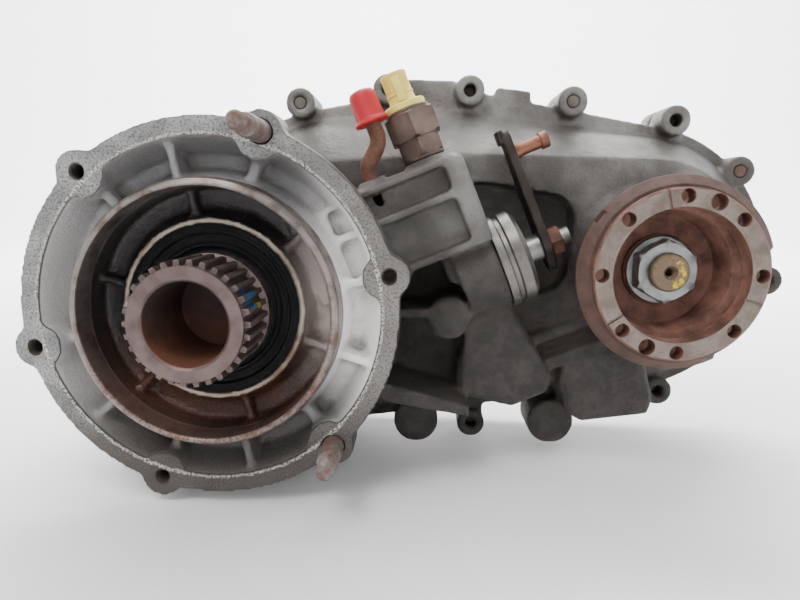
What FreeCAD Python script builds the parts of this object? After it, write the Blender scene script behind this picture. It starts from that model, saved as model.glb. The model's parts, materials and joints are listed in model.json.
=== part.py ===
"""Transfer case: a chain-driven two-speed transfer case with its input flange facing -Y.

The origin is on the input axis at the front face of the input flange. +X runs towards the
front output, +Y runs rearwards and +Z is up. Lengths are millimetres.
"""
import FreeCAD, Part
import Sketcher

import math
import os
import re
from FreeCAD import Placement, Rotation, Vector

doc = FreeCAD.newDocument("TransferCase")
sheet = doc.addObject("Spreadsheet::Sheet", "Sizes")

DRIVING_SIZES = {
    # input flange and bell
    "flange_rim": 113.0,
    "flange_depth": 15.0,
    "face_bore": 102.0,
    "ear_circle": 109.0,
    "ear_size": 12.5,
    "ear_turn": 11.5,
    "ear_fillet": 8.0,
    "ear_thread": 4.25,
    "stud_plain": 6.6,
    "stud_collar": 6.2,
    "stud_seat_depth": 6.0,
    "pilot_bore": 73.4,
    "pilot_rim": 78.5,
    "pilot_reach": 11.3,
    "trough_floor": 22.0,
    "bell_floor": 20.0,
    "seal_boss_rim": 55.7,
    "seal_boss_face": 8.7,
    # input seal, input bearing and planetary set
    "seal_bore": 51.8,
    "input_journal": 35.0,
    "input_bore": 23.4,
    "input_collar": 31.6,
    "input_reach": 36.7,
    "spline_tip": 34.8,
    "bearing_rim": 55.0,
    "bearing_front": 22.0,
    "bearing_width": 13.0,
    "gear_module": 2.5,
    "sun_teeth": 34,
    "planet_teeth": 12,
    "planet_count": 4,
    "gear_front": 40.0,
    "gear_width": 18.0,
    "annulus_rim": 84.0,
    "pin_radius": 7.0,
    "clutch_tip": 33.2,
    "clutch_root": 35.3,
    "sleeve_bore": 22.7,
    # main shaft
    "extension_circle": 62.0,
    "shaft_journal": 22.0,
    "rear_journal": 22.5,
    "range_travel": 18.0,
    "mode_travel": 9.0,
    # chain drive
    "output_x": 280.0,
    "output_z": 21.0,
    "sprocket_tip": 71.0,
    "sprocket_teeth": 44,
    "chain_front": 110.0,
    "chain_width": 28.0,
    "chain_line": 76.0,
    "chain_links": 104,
    # cases
    "ridge_front": 72.0,
    "rim_front": 106.0,
    "boss_front": 94.0,
    "split_line": 118.0,
    "case_wall": 5.0,
    "boss_size": 10.5,
    "bolt_shank": 4.0,
    "bolt_clearance": 4.5,
    "rear_floor": 170.0,
    "rear_face": 198.0,
    # shift system, laid out in a frame turned about Y
    "shift_tilt": 22.0,
    "sector_v": -43.0,
    "sector_y": 56.0,
    "sector_throw": 20.5,
    "rail_u": 146.0,
    "rail_v": 6.0,
    "rail_radius": 7.0,
    "detent_y": 67.0,
    # front output flange
    "cup_face": 15.0,
    "cup_bore": 40.8,
    "cup_ring": 52.2,
    "cup_circle": 47.0,
    "cup_floor": 53.0,
    "cup_thread": 4.25,
    "hub_radius": 24.9,
}
for row, (alias, number) in enumerate(DRIVING_SIZES.items(), 1):
    sheet.set("A%d" % row, alias)
    sheet.set("B%d" % row, str(number))
    sheet.setAlias("B%d" % row, alias)
doc.recompute()

ALONG_Y = Rotation(Vector(0, 0, 1), Vector(0, 1, 0))
ALONG_X = Rotation(Vector(0, 0, 1), Vector(1, 0, 0))
UPRIGHT = Rotation()
UNMOVED = Placement()
NODES = {}


def size(alias):
    """A driving dimension, read from the sheet."""
    return float(getattr(sheet, alias))


TILT = Placement(Vector(), Rotation(Vector(0, 1, 0), -size("shift_tilt")))
OUTPUT = Placement(Vector(size("output_x"), 0, size("output_z")), UPRIGHT)
Y_TO_X = Rotation(Vector(0, 1, 0), Vector(1, 0, 0))
Y_TO_Z = Rotation(Vector(0, 1, 0), Vector(0, 0, 1))


def shift_frame(u, y, v, turn=UPRIGHT):
    """A frame at a point of the shift system."""
    return TILT.multiply(Placement(Vector(u, y, v), turn))


SWITCH_SPOT = (152, 45)
VENT_SPOT = (116, 31.5)
RAIL = shift_frame(size("rail_u"), 0, size("rail_v"))
SECTOR = shift_frame(0, size("sector_y"), size("sector_v"), Y_TO_X)
SWITCH = shift_frame(*SWITCH_SPOT, 0, Y_TO_Z)
VENT_CAP = shift_frame(VENT_SPOT[0] + 14, VENT_SPOT[1], 0, Y_TO_Z)
DETENT = shift_frame(size("rail_u"), size("detent_y"), 0, Y_TO_Z)


# ---------------------------------------------------------------- parametric building blocks
def bind(item, sizes):
    """Tie properties to formulas: a word with an underscore in a formula is a sheet alias."""
    for name, formula in sizes.items():
        text = re.sub(r"\b([a-z]+_[a-z]+(?:_[a-z]+)?)\b", r"Sizes.\1", str(formula))
        item.setExpression(name, text)
    return item


def keep(item, label, frame=UNMOVED):
    """Name a finished sub-part and put it in its frame."""
    item.Label = label
    item.Placement = frame.multiply(item.Placement)
    NODES[label] = item
    return item


def turned(label, profile, frame=UNMOVED):
    """A body of revolution about its frame's Y axis; profile holds (radius, y) formulas."""
    body = doc.addObject("PartDesign::Body", label + "_body")
    sketch = body.newObject("Sketcher::SketchObject", label + "_section")
    plane = [item for item in body.Origin.OriginFeatures if item.Role == "XY_Plane"][0]
    sketch.AttachmentSupport = (plane, [""])
    sketch.MapMode = "FlatFace"
    count = len(profile)
    corners = [
        Vector(60 + 30 * math.cos(2 * math.pi * i / count), 30 * math.sin(2 * math.pi * i / count), 0)
        for i in range(count)
    ]
    for i in range(count):
        sketch.addGeometry(Part.LineSegment(corners[i], corners[(i + 1) % count]), False)
    for i in range(count):
        sketch.addConstraint(Sketcher.Constraint("Coincident", i, 2, (i + 1) % count, 1))
    for i, (radius, along) in enumerate(profile):
        for kind, formula in (("DistanceX", radius), ("DistanceY", along)):
            index = sketch.addConstraint(Sketcher.Constraint(kind, -1, 1, i, 1, 1.0))
            bind(sketch, {"Constraints[%d]" % index: formula})
    turn = body.newObject("PartDesign::Revolution", label + "_turn")
    turn.Profile = sketch
    turn.ReferenceAxis = (sketch, ["V_Axis"])
    turn.Angle = 360.0
    return keep(body, label, frame)


def solid(kind, name, sizes, at=(0, 0, 0), turn=UPRIGHT):
    """A Part primitive bound to formulas; at may hold formulas too."""
    item = doc.addObject("Part::" + kind, name)
    bind(item, sizes)
    item.Placement = Placement(Vector(), turn)
    for axis, formula in zip("xyz", at):
        bind(item, {".Placement.Base." + axis: formula})
    return item


def rod(name, radius, length, at=(0, 0, 0), turn=ALONG_Y):
    return solid("Cylinder", name, {"Radius": radius, "Height": length}, at, turn)


def block(name, length, width, height, at):
    return solid("Box", name, {"Length": length, "Width": width, "Height": height}, at)


def hexagon(name, across_flats, length, at=(0, 0, 0), turn=ALONG_Y):
    corner = "(%s) / sqrt(3)" % across_flats
    item = solid("Prism", name, {"Circumradius": corner, "Height": length}, at, turn)
    item.Polygon = 6
    return item


def fused(name, parts):
    item = doc.addObject("Part::MultiFuse", name)
    item.Shapes = parts
    item.Refine = True
    return item


def cut(name, base, tools):
    item = doc.addObject("Part::Cut", name)
    item.Base = base
    item.Tool = tools[0] if len(tools) == 1 else fused(name + "_tools", tools)
    item.Refine = True
    return item


def group(name, parts):
    item = doc.addObject("Part::Compound", name)
    item.Links = parts
    return item


def shaped(label, shape, frame=UNMOVED):
    """A sub-part whose form needs Part's own functions."""
    item = doc.addObject("Part::Feature", label + "_form")
    item.Shape = shape
    return keep(item, label, frame)


# ---------------------------------------------------------------- direct shapes
def disc(x, z, radius, front, back):
    return Part.makeCylinder(radius, back - front, Vector(x, front, z), Vector(0, 1, 0))


def cone(x, z, front_radius, back_radius, front, back):
    return Part.makeCone(front_radius, back_radius, back - front, Vector(x, front, z), Vector(0, 1, 0))


def brick(low, high):
    return Part.makeBox(high[0] - low[0], high[1] - low[1], high[2] - low[2], Vector(*low))


def tilted(shape):
    """A shape drawn in the shift frame, put where it belongs."""
    shape.Placement = TILT.multiply(shape.Placement)
    return shape


def prism(points, front, back):
    """A plate whose outline is a polygon of (x, z) points."""
    corners = [Vector(x, front, z) for x, z in points]
    return Part.Face(Part.makePolygon(corners + corners[:1])).extrude(Vector(0, back - front, 0))


def join(first, *others):
    return first.multiFuse(list(others)).removeSplitter()


def polar(radius, degrees):
    angle = math.radians(degrees)
    return radius * math.cos(angle), radius * math.sin(angle)


def belt_wire(circles, y):
    """The outline that a tight belt takes round circles (x, z, radius), listed anticlockwise."""
    count = len(circles)
    normals = []
    for i in range(count):
        (x0, z0, r0), (x1, z1, r1) = circles[i], circles[(i + 1) % count]
        lean = math.asin((r0 - r1) / math.hypot(x1 - x0, z1 - z0))
        normals.append(math.atan2(z1 - z0, x1 - x0) - math.pi / 2 + lean)

    def on(circle, angle):
        return Vector(circle[0] + circle[2] * math.cos(angle), y, circle[1] + circle[2] * math.sin(angle))

    edges = []
    for i in range(count):
        here, after = circles[i], circles[(i + 1) % count]
        edges.append(Part.makeLine(on(here, normals[i]), on(after, normals[i])))
        start, end = normals[i], normals[(i + 1) % count]
        while end < start:
            end += 2 * math.pi
        middle = on(after, (start + end) / 2)
        edges.append(Part.Arc(on(after, start), middle, on(after, end)).toShape())
    return Part.Wire(edges)


def inset(circles, amount):
    return [(x, z, radius - amount) for x, z, radius in circles]


def slab(circles, front, back):
    return Part.Face(belt_wire(circles, front)).extrude(Vector(0, back - front, 0))


def taper(front_circles, back_circles, front, back):
    return Part.makeLoft([belt_wire(front_circles, front), belt_wire(back_circles, back)], True, True)


def toothed(teeth, root, tip, share, front, back, turn=0.0):
    """A splined bar: straight-sided teeth that fill a share of the pitch at half height."""
    points = []
    pitch = 2 * math.pi / teeth
    for i in range(teeth):
        centre = i * pitch + turn
        for radius, half in ((root, 0.62), (tip, 0.38), (tip, -0.38), (root, -0.62)):
            angle = centre - half * share * pitch
            points.append((radius * math.cos(angle), radius * math.sin(angle)))
    return prism(points, front, back)


def gear_bar(teeth, tip, root, slack, front, back, turn=0.0):
    """An involute gear with a pressure angle of 25 degrees; slack thins each tooth."""
    pressure = math.radians(25)
    pitch_radius = size("gear_module") * teeth / 2
    base = pitch_radius * math.cos(pressure)
    spread = math.tan(pressure) - pressure
    half_pitch = math.pi / (2 * teeth) - slack / (2 * pitch_radius)
    start = max(base, root)
    steps = 5
    flank = []
    for k in range(steps + 1):
        radius = start + (tip - start) * k / steps
        angle = math.acos(base / radius)
        flank.append((radius, half_pitch + spread - (math.tan(angle) - angle)))
    if root < base:
        flank.insert(0, (root, flank[0][1]))
    edges = []
    last = None
    for i in range(teeth):
        centre = 2 * math.pi * i / teeth + turn
        side = [Vector(r * math.cos(centre - a), front, r * math.sin(centre - a)) for r, a in flank]
        other = [Vector(r * math.cos(centre + a), front, r * math.sin(centre + a)) for r, a in flank][::-1]
        if last is not None:
            edges.append(Part.makeLine(last, side[0]))
        else:
            first = side[0]
        for line in (side, other):
            if root < base:
                bottom = line[:2] if line is side else line[-2:]
                curve = line[1:] if line is side else line[:-1]
            else:
                bottom, curve = None, line
            spline = Part.BSplineCurve()
            spline.interpolate(curve)
            pieces = [spline.toShape()]
            if bottom:
                straight = Part.makeLine(bottom[0], bottom[1])
                pieces = [straight] + pieces if line is side else pieces + [straight]
            edges += pieces
            if line is side:
                edges.append(Part.makeLine(side[-1], other[0]))
        last = other[-1]
    edges.append(Part.makeLine(last, first))
    return Part.Face(Part.Wire(edges)).extrude(Vector(0, back - front, 0))


# ---------------------------------------------------------------- castings
RIM = [
    (0, 0, 112),
    (size("output_x"), size("output_z"), 98),
    (140, 70, 76),
    (60, 60, 72),
]
SHELL = [
    (0, 0, 104),
    (size("output_x"), size("output_z"), 91),
    (140, 70, 60),
    (60, 60, 64),
]
RIDGE = [
    (0, 0, 88),
    (size("output_x"), size("output_z"), 72),
    (140, 70, 27),
    (60, 60, 32),
]
RIM_BOSSES = [
    (39, 134),
    (101, 143),
    (159, 142),
    (231, 134),
    (303, 121),
    (350, 86),
    (377, 8),
    (304, -76),
    (222, -99),
    (164, -103),
    (60, -110),
    (-62, -97),
    (-112, -8),
    (-80, 84),
]
DOWELS = [(-27, 102), (332, -54)]
EAR_TURNS = [size("ear_turn") + 60 * i for i in range(6)]
STUD_EARS = (1, 5)
STUD_REACHES = (48, 39)
STUD_PLAIN_SHARE = 0.6
LONG_BOLTS = (0, 3, 5)
EXTENSION_TURNS = [60 * i for i in range(6)]
PICKUP_SPOT = (-14, -56)
PLUG_SPOTS = [(188, 92), (150, -66)]


def shift_block(low, high):
    return tilted(brick(low, high))


def sector_disc(radius, low_u, high_u):
    """A cylinder about the sector shaft's axis."""
    base = Vector(low_u, size("sector_y"), size("sector_v"))
    return tilted(Part.makeCylinder(radius, high_u - low_u, base, Vector(1, 0, 0)))


def flange_ring():
    """The flange's face as a plate: a ring with six ears whose inner corners are rounded."""
    ring = disc(0, 0, size("flange_rim"), 0, 1).cut(disc(0, 0, size("face_bore"), -1, 2))
    ears = [disc(*polar(size("ear_circle"), turn), size("ear_size"), 0, 1) for turn in EAR_TURNS]
    lugs = [disc(*polar(size("ear_circle") - 3, turn), size("ear_size") + 0.5, 0, 1) for turn in EAR_TURNS]
    plate = join(ring, *ears, *lugs)
    face = [item for item in plate.Faces if item.BoundBox.YMax < 0.01][0]
    rounded = face.makeOffset2D(size("ear_fillet")).makeOffset2D(-size("ear_fillet"))
    return rounded.extrude(Vector(0, size("flange_depth") - 1, 0))


def flange_end():
    """The input flange with its ears, trough, pilot ring and seal boss."""
    depth, floor = size("flange_depth"), size("bell_floor")
    body = join(
        disc(0, 0, size("flange_rim"), 0, depth),
        cone(0, 0, 107, 98, depth, 36),
        *[disc(*polar(size("ear_circle"), turn), size("ear_size"), 0, 24) for turn in EAR_TURNS]
    )
    trough = cone(0, 0, size("face_bore"), 93, -1, size("trough_floor"))
    ribs = []
    for turn in EAR_TURNS:
        x, z = polar(size("ear_circle") - 3, turn)
        ribs.append(disc(x, z, size("ear_size") + 1, 0, floor))
    for turn in (101.5, 221.5, 281.5, 341.5):
        rib = brick((70, 4, -2.5), (size("face_bore") + 3, floor + 4, 2.5))
        rib.rotate(Vector(), Vector(0, 1, 0), -turn)
        ribs.append(rib)
    for turn in EAR_TURNS:
        rib = brick((70, 8, -3), (size("face_bore") + 3, floor + 4, 3))
        rib.rotate(Vector(), Vector(0, 1, 0), -turn)
        ribs.append(rib)
    pilot = join(
        disc(0, 0, size("pilot_rim"), -size("pilot_reach") + 3, floor + 4),
        cone(0, 0, size("pilot_rim") - 2, size("pilot_rim"), -size("pilot_reach"), -size("pilot_reach") + 3),
        cone(0, 0, size("pilot_rim"), size("pilot_rim") + 6, 2, floor + 4),
    )
    body = join(body.cut(trough), flange_ring(), pilot, *ribs)
    body = body.cut(disc(0, 0, size("pilot_bore"), -20, floor + 2))
    boss = disc(0, 0, size("seal_boss_rim"), size("seal_boss_face"), floor + 4)
    foot = cone(0, 0, size("seal_boss_rim"), size("seal_boss_rim") + 6, 11, floor + 4)
    spokes = []
    for turn in (100, 40, 165, -20, -135, -75):
        spoke = brick((52, 12.5, -2.2), (75, floor + 4, 2.2))
        spoke.rotate(Vector(), Vector(0, 1, 0), -turn)
        spokes.append(spoke)
    return join(body, boss, foot, *spokes)


def boss_necks(front, back):
    """Webs that tie the two hanging lower bosses to the rim."""
    return [brick((x - 9, front, -100), (x + 9, back, -76)) for x in (164, 222)]


def front_case_outside():
    x, z = size("output_x"), size("output_z")
    split, rim, ridge = size("split_line"), size("rim_front"), size("ridge_front")
    band = taper(RIDGE, SHELL, ridge, rim)
    bosses = [disc(bx, bz, size("boss_size"), size("boss_front"), split) for bx, bz in RIM_BOSSES]
    housing = disc(0, 0, 98, 34, split)
    nose = join(
        disc(x, z, 43, 61.5, 64),
        cone(x, z, 47, 50, 63, 68),
        cone(x, z, 50, 74, 68, 84),
    )
    bridge = prism([(96, 141), (106, 152), (148, 151), (166, 141), (150, 128), (110, 128)], rim, split)
    pad = prism([(177, 137), (179, 146), (204, 143), (203, 132)], rim, split)
    box = shift_block((60, 18, -24), (173, 108, 34))
    box = box.makeFillet(7, [edge for edge in box.Edges if edge_is_outer(edge)])
    neck = join(sector_disc(30, 144, 172), sector_disc(26, 138, 145))
    web = prism([(150, 50), (165, 40), (187, -5), (215, -54), (211, -64), (188, -74), (150, -66)], 48, split)
    web = web.makeChamfer(4, [edge for edge in web.Edges if edge_is_front(edge, 48)])
    shelf = prism([(88, -52), (96, -47), (156, -64), (156, -71), (104, -62)], 22, split)
    dome = join(
        disc(143, -9.8, 14, 36, 90),
        Part.makeSphere(22, Vector(143, 53, -9.8)).common(disc(143, -9.8, 14, 20, 40)),
    )
    stub = brick((104, 34, -9), (140, 80, -3))
    rib_far = prism([(158, 32), (226, 70), (230, 76), (222, 78), (160, 44)], 74, split)
    rib_low = prism([(196, -30), (262, -4), (262, -12), (200, -38)], 66, split)
    rib_lower = prism([(200, -48), (258, -24), (258, -32), (204, -56)], 60, split)
    pan_outline = [(226, -38), (277, -30), (287, -72), (284, -82), (238, -88), (228, -82), (222, -60)]
    pan = prism(pan_outline, 58, split)
    pan = pan.makeFillet(6, [edge for edge in pan.Edges if edge_is_front(edge, 58)])
    lugs = join(disc(122, -92, 16, 70, split), disc(222, -97, 17, 84, split), *boss_necks(rim - 6, split))
    top_bosses = [
        upright(SWITCH_SPOT, 14.5, 29, 37),
        upright(VENT_SPOT, 9, 29, 37),
        upright((size("rail_u"), size("detent_y")), 7.5, 29, 40),
    ]
    return join(
        band, slab(RIM, rim, split), housing, nose, bridge, pad, box, neck, web, shelf, dome, stub,
        rib_far, rib_low, rib_lower, pan, lugs, *top_bosses, *bosses
    )


def upright(spot, radius, low, high):
    """A cylinder square to the shift box's top, at (u, y) on it, from height low to high."""
    return tilted(Part.makeCylinder(radius, high - low, Vector(*spot, low), Vector(0, 0, 1)))


def edge_is_front(edge, front):
    return all(abs(vertex.Y - front) < 0.01 for vertex in edge.Vertexes)


def edge_is_outer(edge):
    """The shift box's two long right-hand edges and its upper front edge."""
    first, second = edge.Vertexes[0].Point, edge.Vertexes[-1].Point
    local = [TILT.inverse().multVec(point) for point in (first, second)]
    right = all(point.x > 172 for point in local)
    top = all(point.z > 33 for point in local)
    front = all(point.y < 19 for point in local)
    return (right and (top or front)) or (top and front)


def front_case_shape():
    split, ridge = size("split_line"), size("ridge_front")
    wall = size("case_wall")
    x, z = size("output_x"), size("output_z")
    body = join(front_case_outside(), flange_end())
    pockets = [
        tilted(brick((84, 10, 13), (160, 27, 28))),
        tilted(brick((84, 10, -19), (160, 27, 8))),
    ]
    recess = slab([(170, 34, 18), (208, 20, 18), (212, 52, 18), (166, 58, 20)], 30, 90)
    recess = recess.cut(sector_disc(31, 130, 173))
    low_recess = slab([(132, -28, 22), (144, 2, 12), (128, 8, 10)], 30, 66)
    low_recess = low_recess.cut(join(disc(143, -9.8, 15, 30, 90), brick((100, 30, -10), (143, 90, -2))))
    seal_step = [
        disc(0, 0, size("seal_bore"), 0, 20.2),
        disc(0, 0, 47, 19, 23),
        disc(0, 0, size("bearing_rim"), size("bearing_front"), 38),
        disc(0, 0, size("annulus_rim"), 36, 64),
        disc(0, 0, 89, 62, split + 1),
    ]
    inner_front = inset(RIDGE, wall + 1)
    inner_back = inset(SHELL, wall)
    chain_room = join(taper(inner_front, inner_back, ridge + 7, 108), slab(inner_back, 108, split + 1))
    kept_floor = join(
        slab([(170, 34, 23), (208, 20, 23), (212, 52, 23), (166, 58, 25)], 30, 96),
        slab([(132, -28, 26), (144, 2, 17), (128, 8, 15)], 30, 90),
    )
    chain_room = chain_room.cut(kept_floor)
    shift_room = tilted(brick((100, 36, -19), (165, 119, 28)))
    sector_room = join(sector_disc(25, 148, 167), tilted(brick((148, 36, -43), (167, 82, -10))))
    sector_bore = sector_disc(9.05, 160, 180)
    rail_seat = tilted(disc(size("rail_u"), size("rail_v"), size("rail_radius") + 0.02, 30, 40))
    output_room = [
        disc(x, z, 26.5, 50, 80),
        disc(x, z, 36, 50, 74),
        disc(x, z, 40, 76, 96),
        disc(x, z, 60, 94, split + 1),
    ]
    ear_holes = [disc(*polar(size("ear_circle"), turn), size("ear_thread"), -1, 21) for turn in EAR_TURNS]
    for ear in STUD_EARS:
        spot = polar(size("ear_circle"), EAR_TURNS[ear])
        ear_holes.append(disc(*spot, size("stud_plain") + 0.05, -1, size("stud_seat_depth")))
    bolt_hole = size("bolt_clearance")
    bolt_holes = [disc(bx, bz, bolt_hole, size("boss_front") - 1, split + 1) for bx, bz in RIM_BOSSES]
    dowels = [disc(*spot, 4, split - 8, split + 1) for spot in DOWELS]
    detent_spot = (size("rail_u"), size("detent_y"))
    top_bores = [
        upright(SWITCH_SPOT, 8, 20, 40),
        upright(VENT_SPOT, 4.85, 20, 42),
        upright(detent_spot, 5, 20, 50),
        upright(detent_spot, 9, 40, 70),
    ]
    tools = pockets + seal_step + output_room + ear_holes + bolt_holes + dowels
    tools += [recess, low_recess, chain_room, shift_room, sector_room, sector_bore, rail_seat]
    tools += [*top_bores, sector_disc(31.5, 172, 204)]
    return body.cut(tools).removeSplitter()


def rear_case_shape():
    """The shallow rear half: a rim, a tapering shell and the rear bearing's boss."""
    split, floor, face = size("split_line"), size("rear_floor"), size("rear_face")
    x, z = size("output_x"), size("output_z")
    rim_back = split + 12
    back = inset(SHELL, 12)
    shell = taper(inset(SHELL, 3), back, rim_back, floor)
    bosses = [disc(bx, bz, size("boss_size"), split, split + 20) for bx, bz in RIM_BOSSES]
    ribs = []
    for turn in range(15, 360, 30):
        rib = brick((52, floor - 6, -2.5), (84, floor + 10, 2.5))
        rib.rotate(Vector(), Vector(0, 1, 0), -turn)
        ribs.append(rib)
    body = join(
        slab(RIM, split, rim_back), shell,
        disc(0, 0, 68, floor - 4, face), disc(x, z, 36, floor - 8, floor + 4),
        cone(0, 0, 84, 68, floor - 2, floor + 12), disc(60, 60, 18, floor - 6, floor + 2),
        tilted(disc(size("rail_u"), size("rail_v"), 13, floor - 8, floor + 2)), *bosses, *ribs,
        *boss_necks(split, rim_back)
    )
    inner_front = inset(SHELL, size("case_wall"))
    inner_back = inset(back, size("case_wall"))
    tools = [
        slab(inner_front, split - 1, rim_back),
        taper(inset(inner_front, 3), inner_back, rim_back, floor - 6),
        disc(0, 0, 30, floor - 8, face + 1),
        disc(0, 0, 42.5, 176, 195.2),
        disc(0, 0, 46, 195, face + 1),
        disc(x, z, 22, floor - 20, floor - 2),
        tilted(disc(size("rail_u"), size("rail_v"), size("rail_radius") + 0.02, floor - 12, floor - 2)),
        disc(*PICKUP_SPOT, 6.25, floor - 12, face + 1),
    ]
    tools += [disc(bx, bz, size("bolt_clearance"), split - 1, split + 21) for bx, bz in RIM_BOSSES]
    tools += [disc(*spot, 4, split - 1, split + 8) for spot in DOWELS]
    bolt_thread = size("bolt_shank") + 0.05
    spots = [polar(size("extension_circle"), turn) for turn in EXTENSION_TURNS]
    tools += [disc(*spot, bolt_thread, face - 18, face + 1) for spot in spots]
    tools += [disc(px, pz, 9, floor - 12, floor + 8) for px, pz in PLUG_SPOTS]
    pads = [disc(px, pz, 15, floor - 10, floor + 4) for px, pz in PLUG_SPOTS]
    return join(body, *pads).cut(tools).removeSplitter()


def extension_shape():
    """The rear housing that holds the pump, the speed sensor and the rear oil seal."""
    face = size("rear_face")
    ears = [disc(*polar(size("extension_circle"), turn), 10, face, face + 10) for turn in EXTENSION_TURNS]
    body = join(
        disc(0, 0, 66, face, face + 10), cone(0, 0, 51.5, 40, face + 10, face + 42),
        disc(0, 0, 40, face + 42, face + 56), *ears
    )
    sensor_boss = Part.makeCylinder(13, 62, Vector(0, face + 26, 0), Vector(0, 0, 1))
    webs = []
    for turn in (30, 150, 210, 330):
        web = brick((34, face + 8, -2.5), (60, face + 30, 2.5))
        web.rotate(Vector(), Vector(0, 1, 0), -turn)
        webs.append(web.common(cone(0, 0, 64, 44, face + 8, face + 36)))
    body = join(body, sensor_boss, *webs)
    tools = [
        disc(0, 0, 46, face - 1, face + 12),
        cone(0, 0, 45, 34, face + 12, face + 38),
        disc(0, 0, 24, face + 30, face + 60),
        disc(0, 0, 32, face + 46, face + 60),
        Part.makeCylinder(8.05, 64, Vector(0, face + 26, 20), Vector(0, 0, 1)),
        disc(*PICKUP_SPOT, 6.25, face - 1, face + 6),
    ]
    spots = [polar(size("extension_circle"), turn) for turn in EXTENSION_TURNS]
    tools += [disc(*spot, size("bolt_clearance"), face - 1, face + 11) for spot in spots]
    return body.cut(tools).removeSplitter()


# ---------------------------------------------------------------- gear train shapes
def input_shaft_shape():
    front, back = size("gear_front"), size("gear_front") + size("gear_width")
    module, teeth = size("gear_module"), int(size("sun_teeth"))
    reach, collar = -size("input_reach"), size("input_collar")
    pitch_radius = module * teeth / 2
    sun = gear_bar(teeth, pitch_radius + 0.75 * module, pitch_radius - module, 0.15, front, back)
    splines = toothed(30, collar - 0.2, size("spline_tip"), 0.5, reach + 3, 1)
    body = join(
        disc(0, 0, collar, reach, 6), splines, cone(0, 0, collar, size("input_journal"), 1, 4),
        disc(0, 0, size("input_journal"), 4, front), sun
    )
    clutch = toothed(30, size("clutch_tip"), size("clutch_root"), 0.54, 44, back + 1)
    tools = [
        disc(0, 0, size("input_bore"), reach - 1, 18),
        cone(0, 0, size("input_bore") + 1.5, size("input_bore"), reach, reach + 1.5),
        disc(0, 0, 14.05, 21, 43),
        disc(0, 0, size("clutch_tip"), 42, back + 1),
        disc(0, 0, size("clutch_root") + 0.4, 48.6, back + 1),
        clutch,
    ]
    return body.cut(tools)


def annulus_shape():
    front, back = size("gear_front"), size("gear_front") + size("gear_width")
    module = size("gear_module")
    teeth = int(size("sun_teeth") + 2 * size("planet_teeth"))
    pitch_radius = module * teeth / 2
    gaps = gear_bar(
        teeth, pitch_radius + module, pitch_radius - 0.75 * module, -0.15, front - 3, back + 3,
        math.pi / teeth
    )
    return disc(0, 0, size("annulus_rim") - 0.02, front - 2, back + 2).cut(gaps)


def planet_shape(turn):
    front, back = size("gear_front") + 0.4, size("gear_front") + size("gear_width") - 0.4
    module, teeth = size("gear_module"), int(size("planet_teeth"))
    pitch_radius = module * teeth / 2
    gear = gear_bar(teeth, pitch_radius + 0.75 * module, pitch_radius - module, 0.15, front, back, turn)
    return gear.cut(disc(0, 0, size("pin_radius") + 0.05, front - 1, back + 1))


def planet_orbit():
    return size("gear_module") * (size("sun_teeth") + size("planet_teeth")) / 2


def carrier_shape():
    """Front and rear plates joined by four bridges, with a clutch ring at the back."""
    front, back = size("gear_front"), size("gear_front") + size("gear_width")
    orbit = planet_orbit()
    body = join(
        disc(0, 0, 69, front - 3.6, front), disc(0, 0, 69, back + 0.5, back + 6),
        disc(0, 0, 46, back + 6, back + 16.5)
    )
    window = disc(0, 0, 38, back, back + 9)
    bridges = disc(0, 0, 69, front - 1, back + 1).cut(disc(0, 0, 46.5, front - 2, back + 2))
    for k in range(int(size("planet_count"))):
        bridges = bridges.cut(disc(*polar(orbit, 90 * k), 18.3, front, back + 0.5))
    body = join(body, bridges)
    tools = [
        disc(0, 0, 37, front - 4, front + 1), window, disc(0, 0, 46.5, front - 0.01, back + 0.51),
        disc(0, 0, size("clutch_tip"), back, back + 17),
        toothed(30, size("clutch_tip"), size("clutch_root"), 0.54, back + 9, back + 17),
    ]
    tools += [disc(*polar(orbit, 90 * k), size("pin_radius"), front - 4, back + 7) for k in range(4)]
    return body.cut(tools)


def range_sleeve_shape():
    front = size("gear_front") + 6 + size("range_travel")
    back = front + 44
    ring = toothed(30, size("clutch_tip") - 0.3, size("clutch_root") - 0.35, 0.44, front + 3, front + 10)
    body = join(
        disc(0, 0, 31, front, back), disc(0, 0, size("clutch_tip") - 0.3, front + 3, front + 10), ring,
        disc(0, 0, 42, back - 14, back - 11), disc(0, 0, 42, back - 3, back),
        disc(0, 0, 34, back - 12, back - 2)
    )
    slots = toothed(26, 20.7, size("sleeve_bore"), 0.56, front - 1, back + 1)
    return body.cut([disc(0, 0, 20.7, front - 1, back + 1), slots])


def main_shaft_shape():
    chain_front, chain_back = size("chain_front"), size("chain_front") + size("chain_width")
    face = size("rear_face")
    return join(
        disc(0, 0, 14, 22.5, 44), disc(0, 0, 20.4, 44, chain_front - 2),
        toothed(26, 20.3, size("sleeve_bore") - 0.2, 0.46, 46, chain_front - 2),
        disc(0, 0, size("shaft_journal"), chain_front - 2, chain_back + 10),
        disc(0, 0, 24.4, chain_back + 10, 172), toothed(28, 24.3, 26.3, 0.46, chain_back + 10.5, 165),
        disc(0, 0, size("rear_journal"), 172, face), disc(0, 0, 21, face, face + 46),
        disc(0, 0, 17.6, face + 46, face + 69.5), toothed(24, 17.5, 19, 0.46, face + 46.5, face + 69),
        disc(0, 0, 12, face + 69.5, face + 86)
    )


def mode_hub_shape():
    back = size("chain_front") + size("chain_width")
    teeth = toothed(36, 38, 40, 0.46, back + 13, back + 25)
    body = join(disc(0, 0, 38.1, back + 13, back + 25), teeth)
    slots = toothed(28, 24.5, 26.5, 0.56, back + 12, back + 26)
    return body.cut([disc(0, 0, 24.5, back + 12, back + 26), slots])


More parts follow.
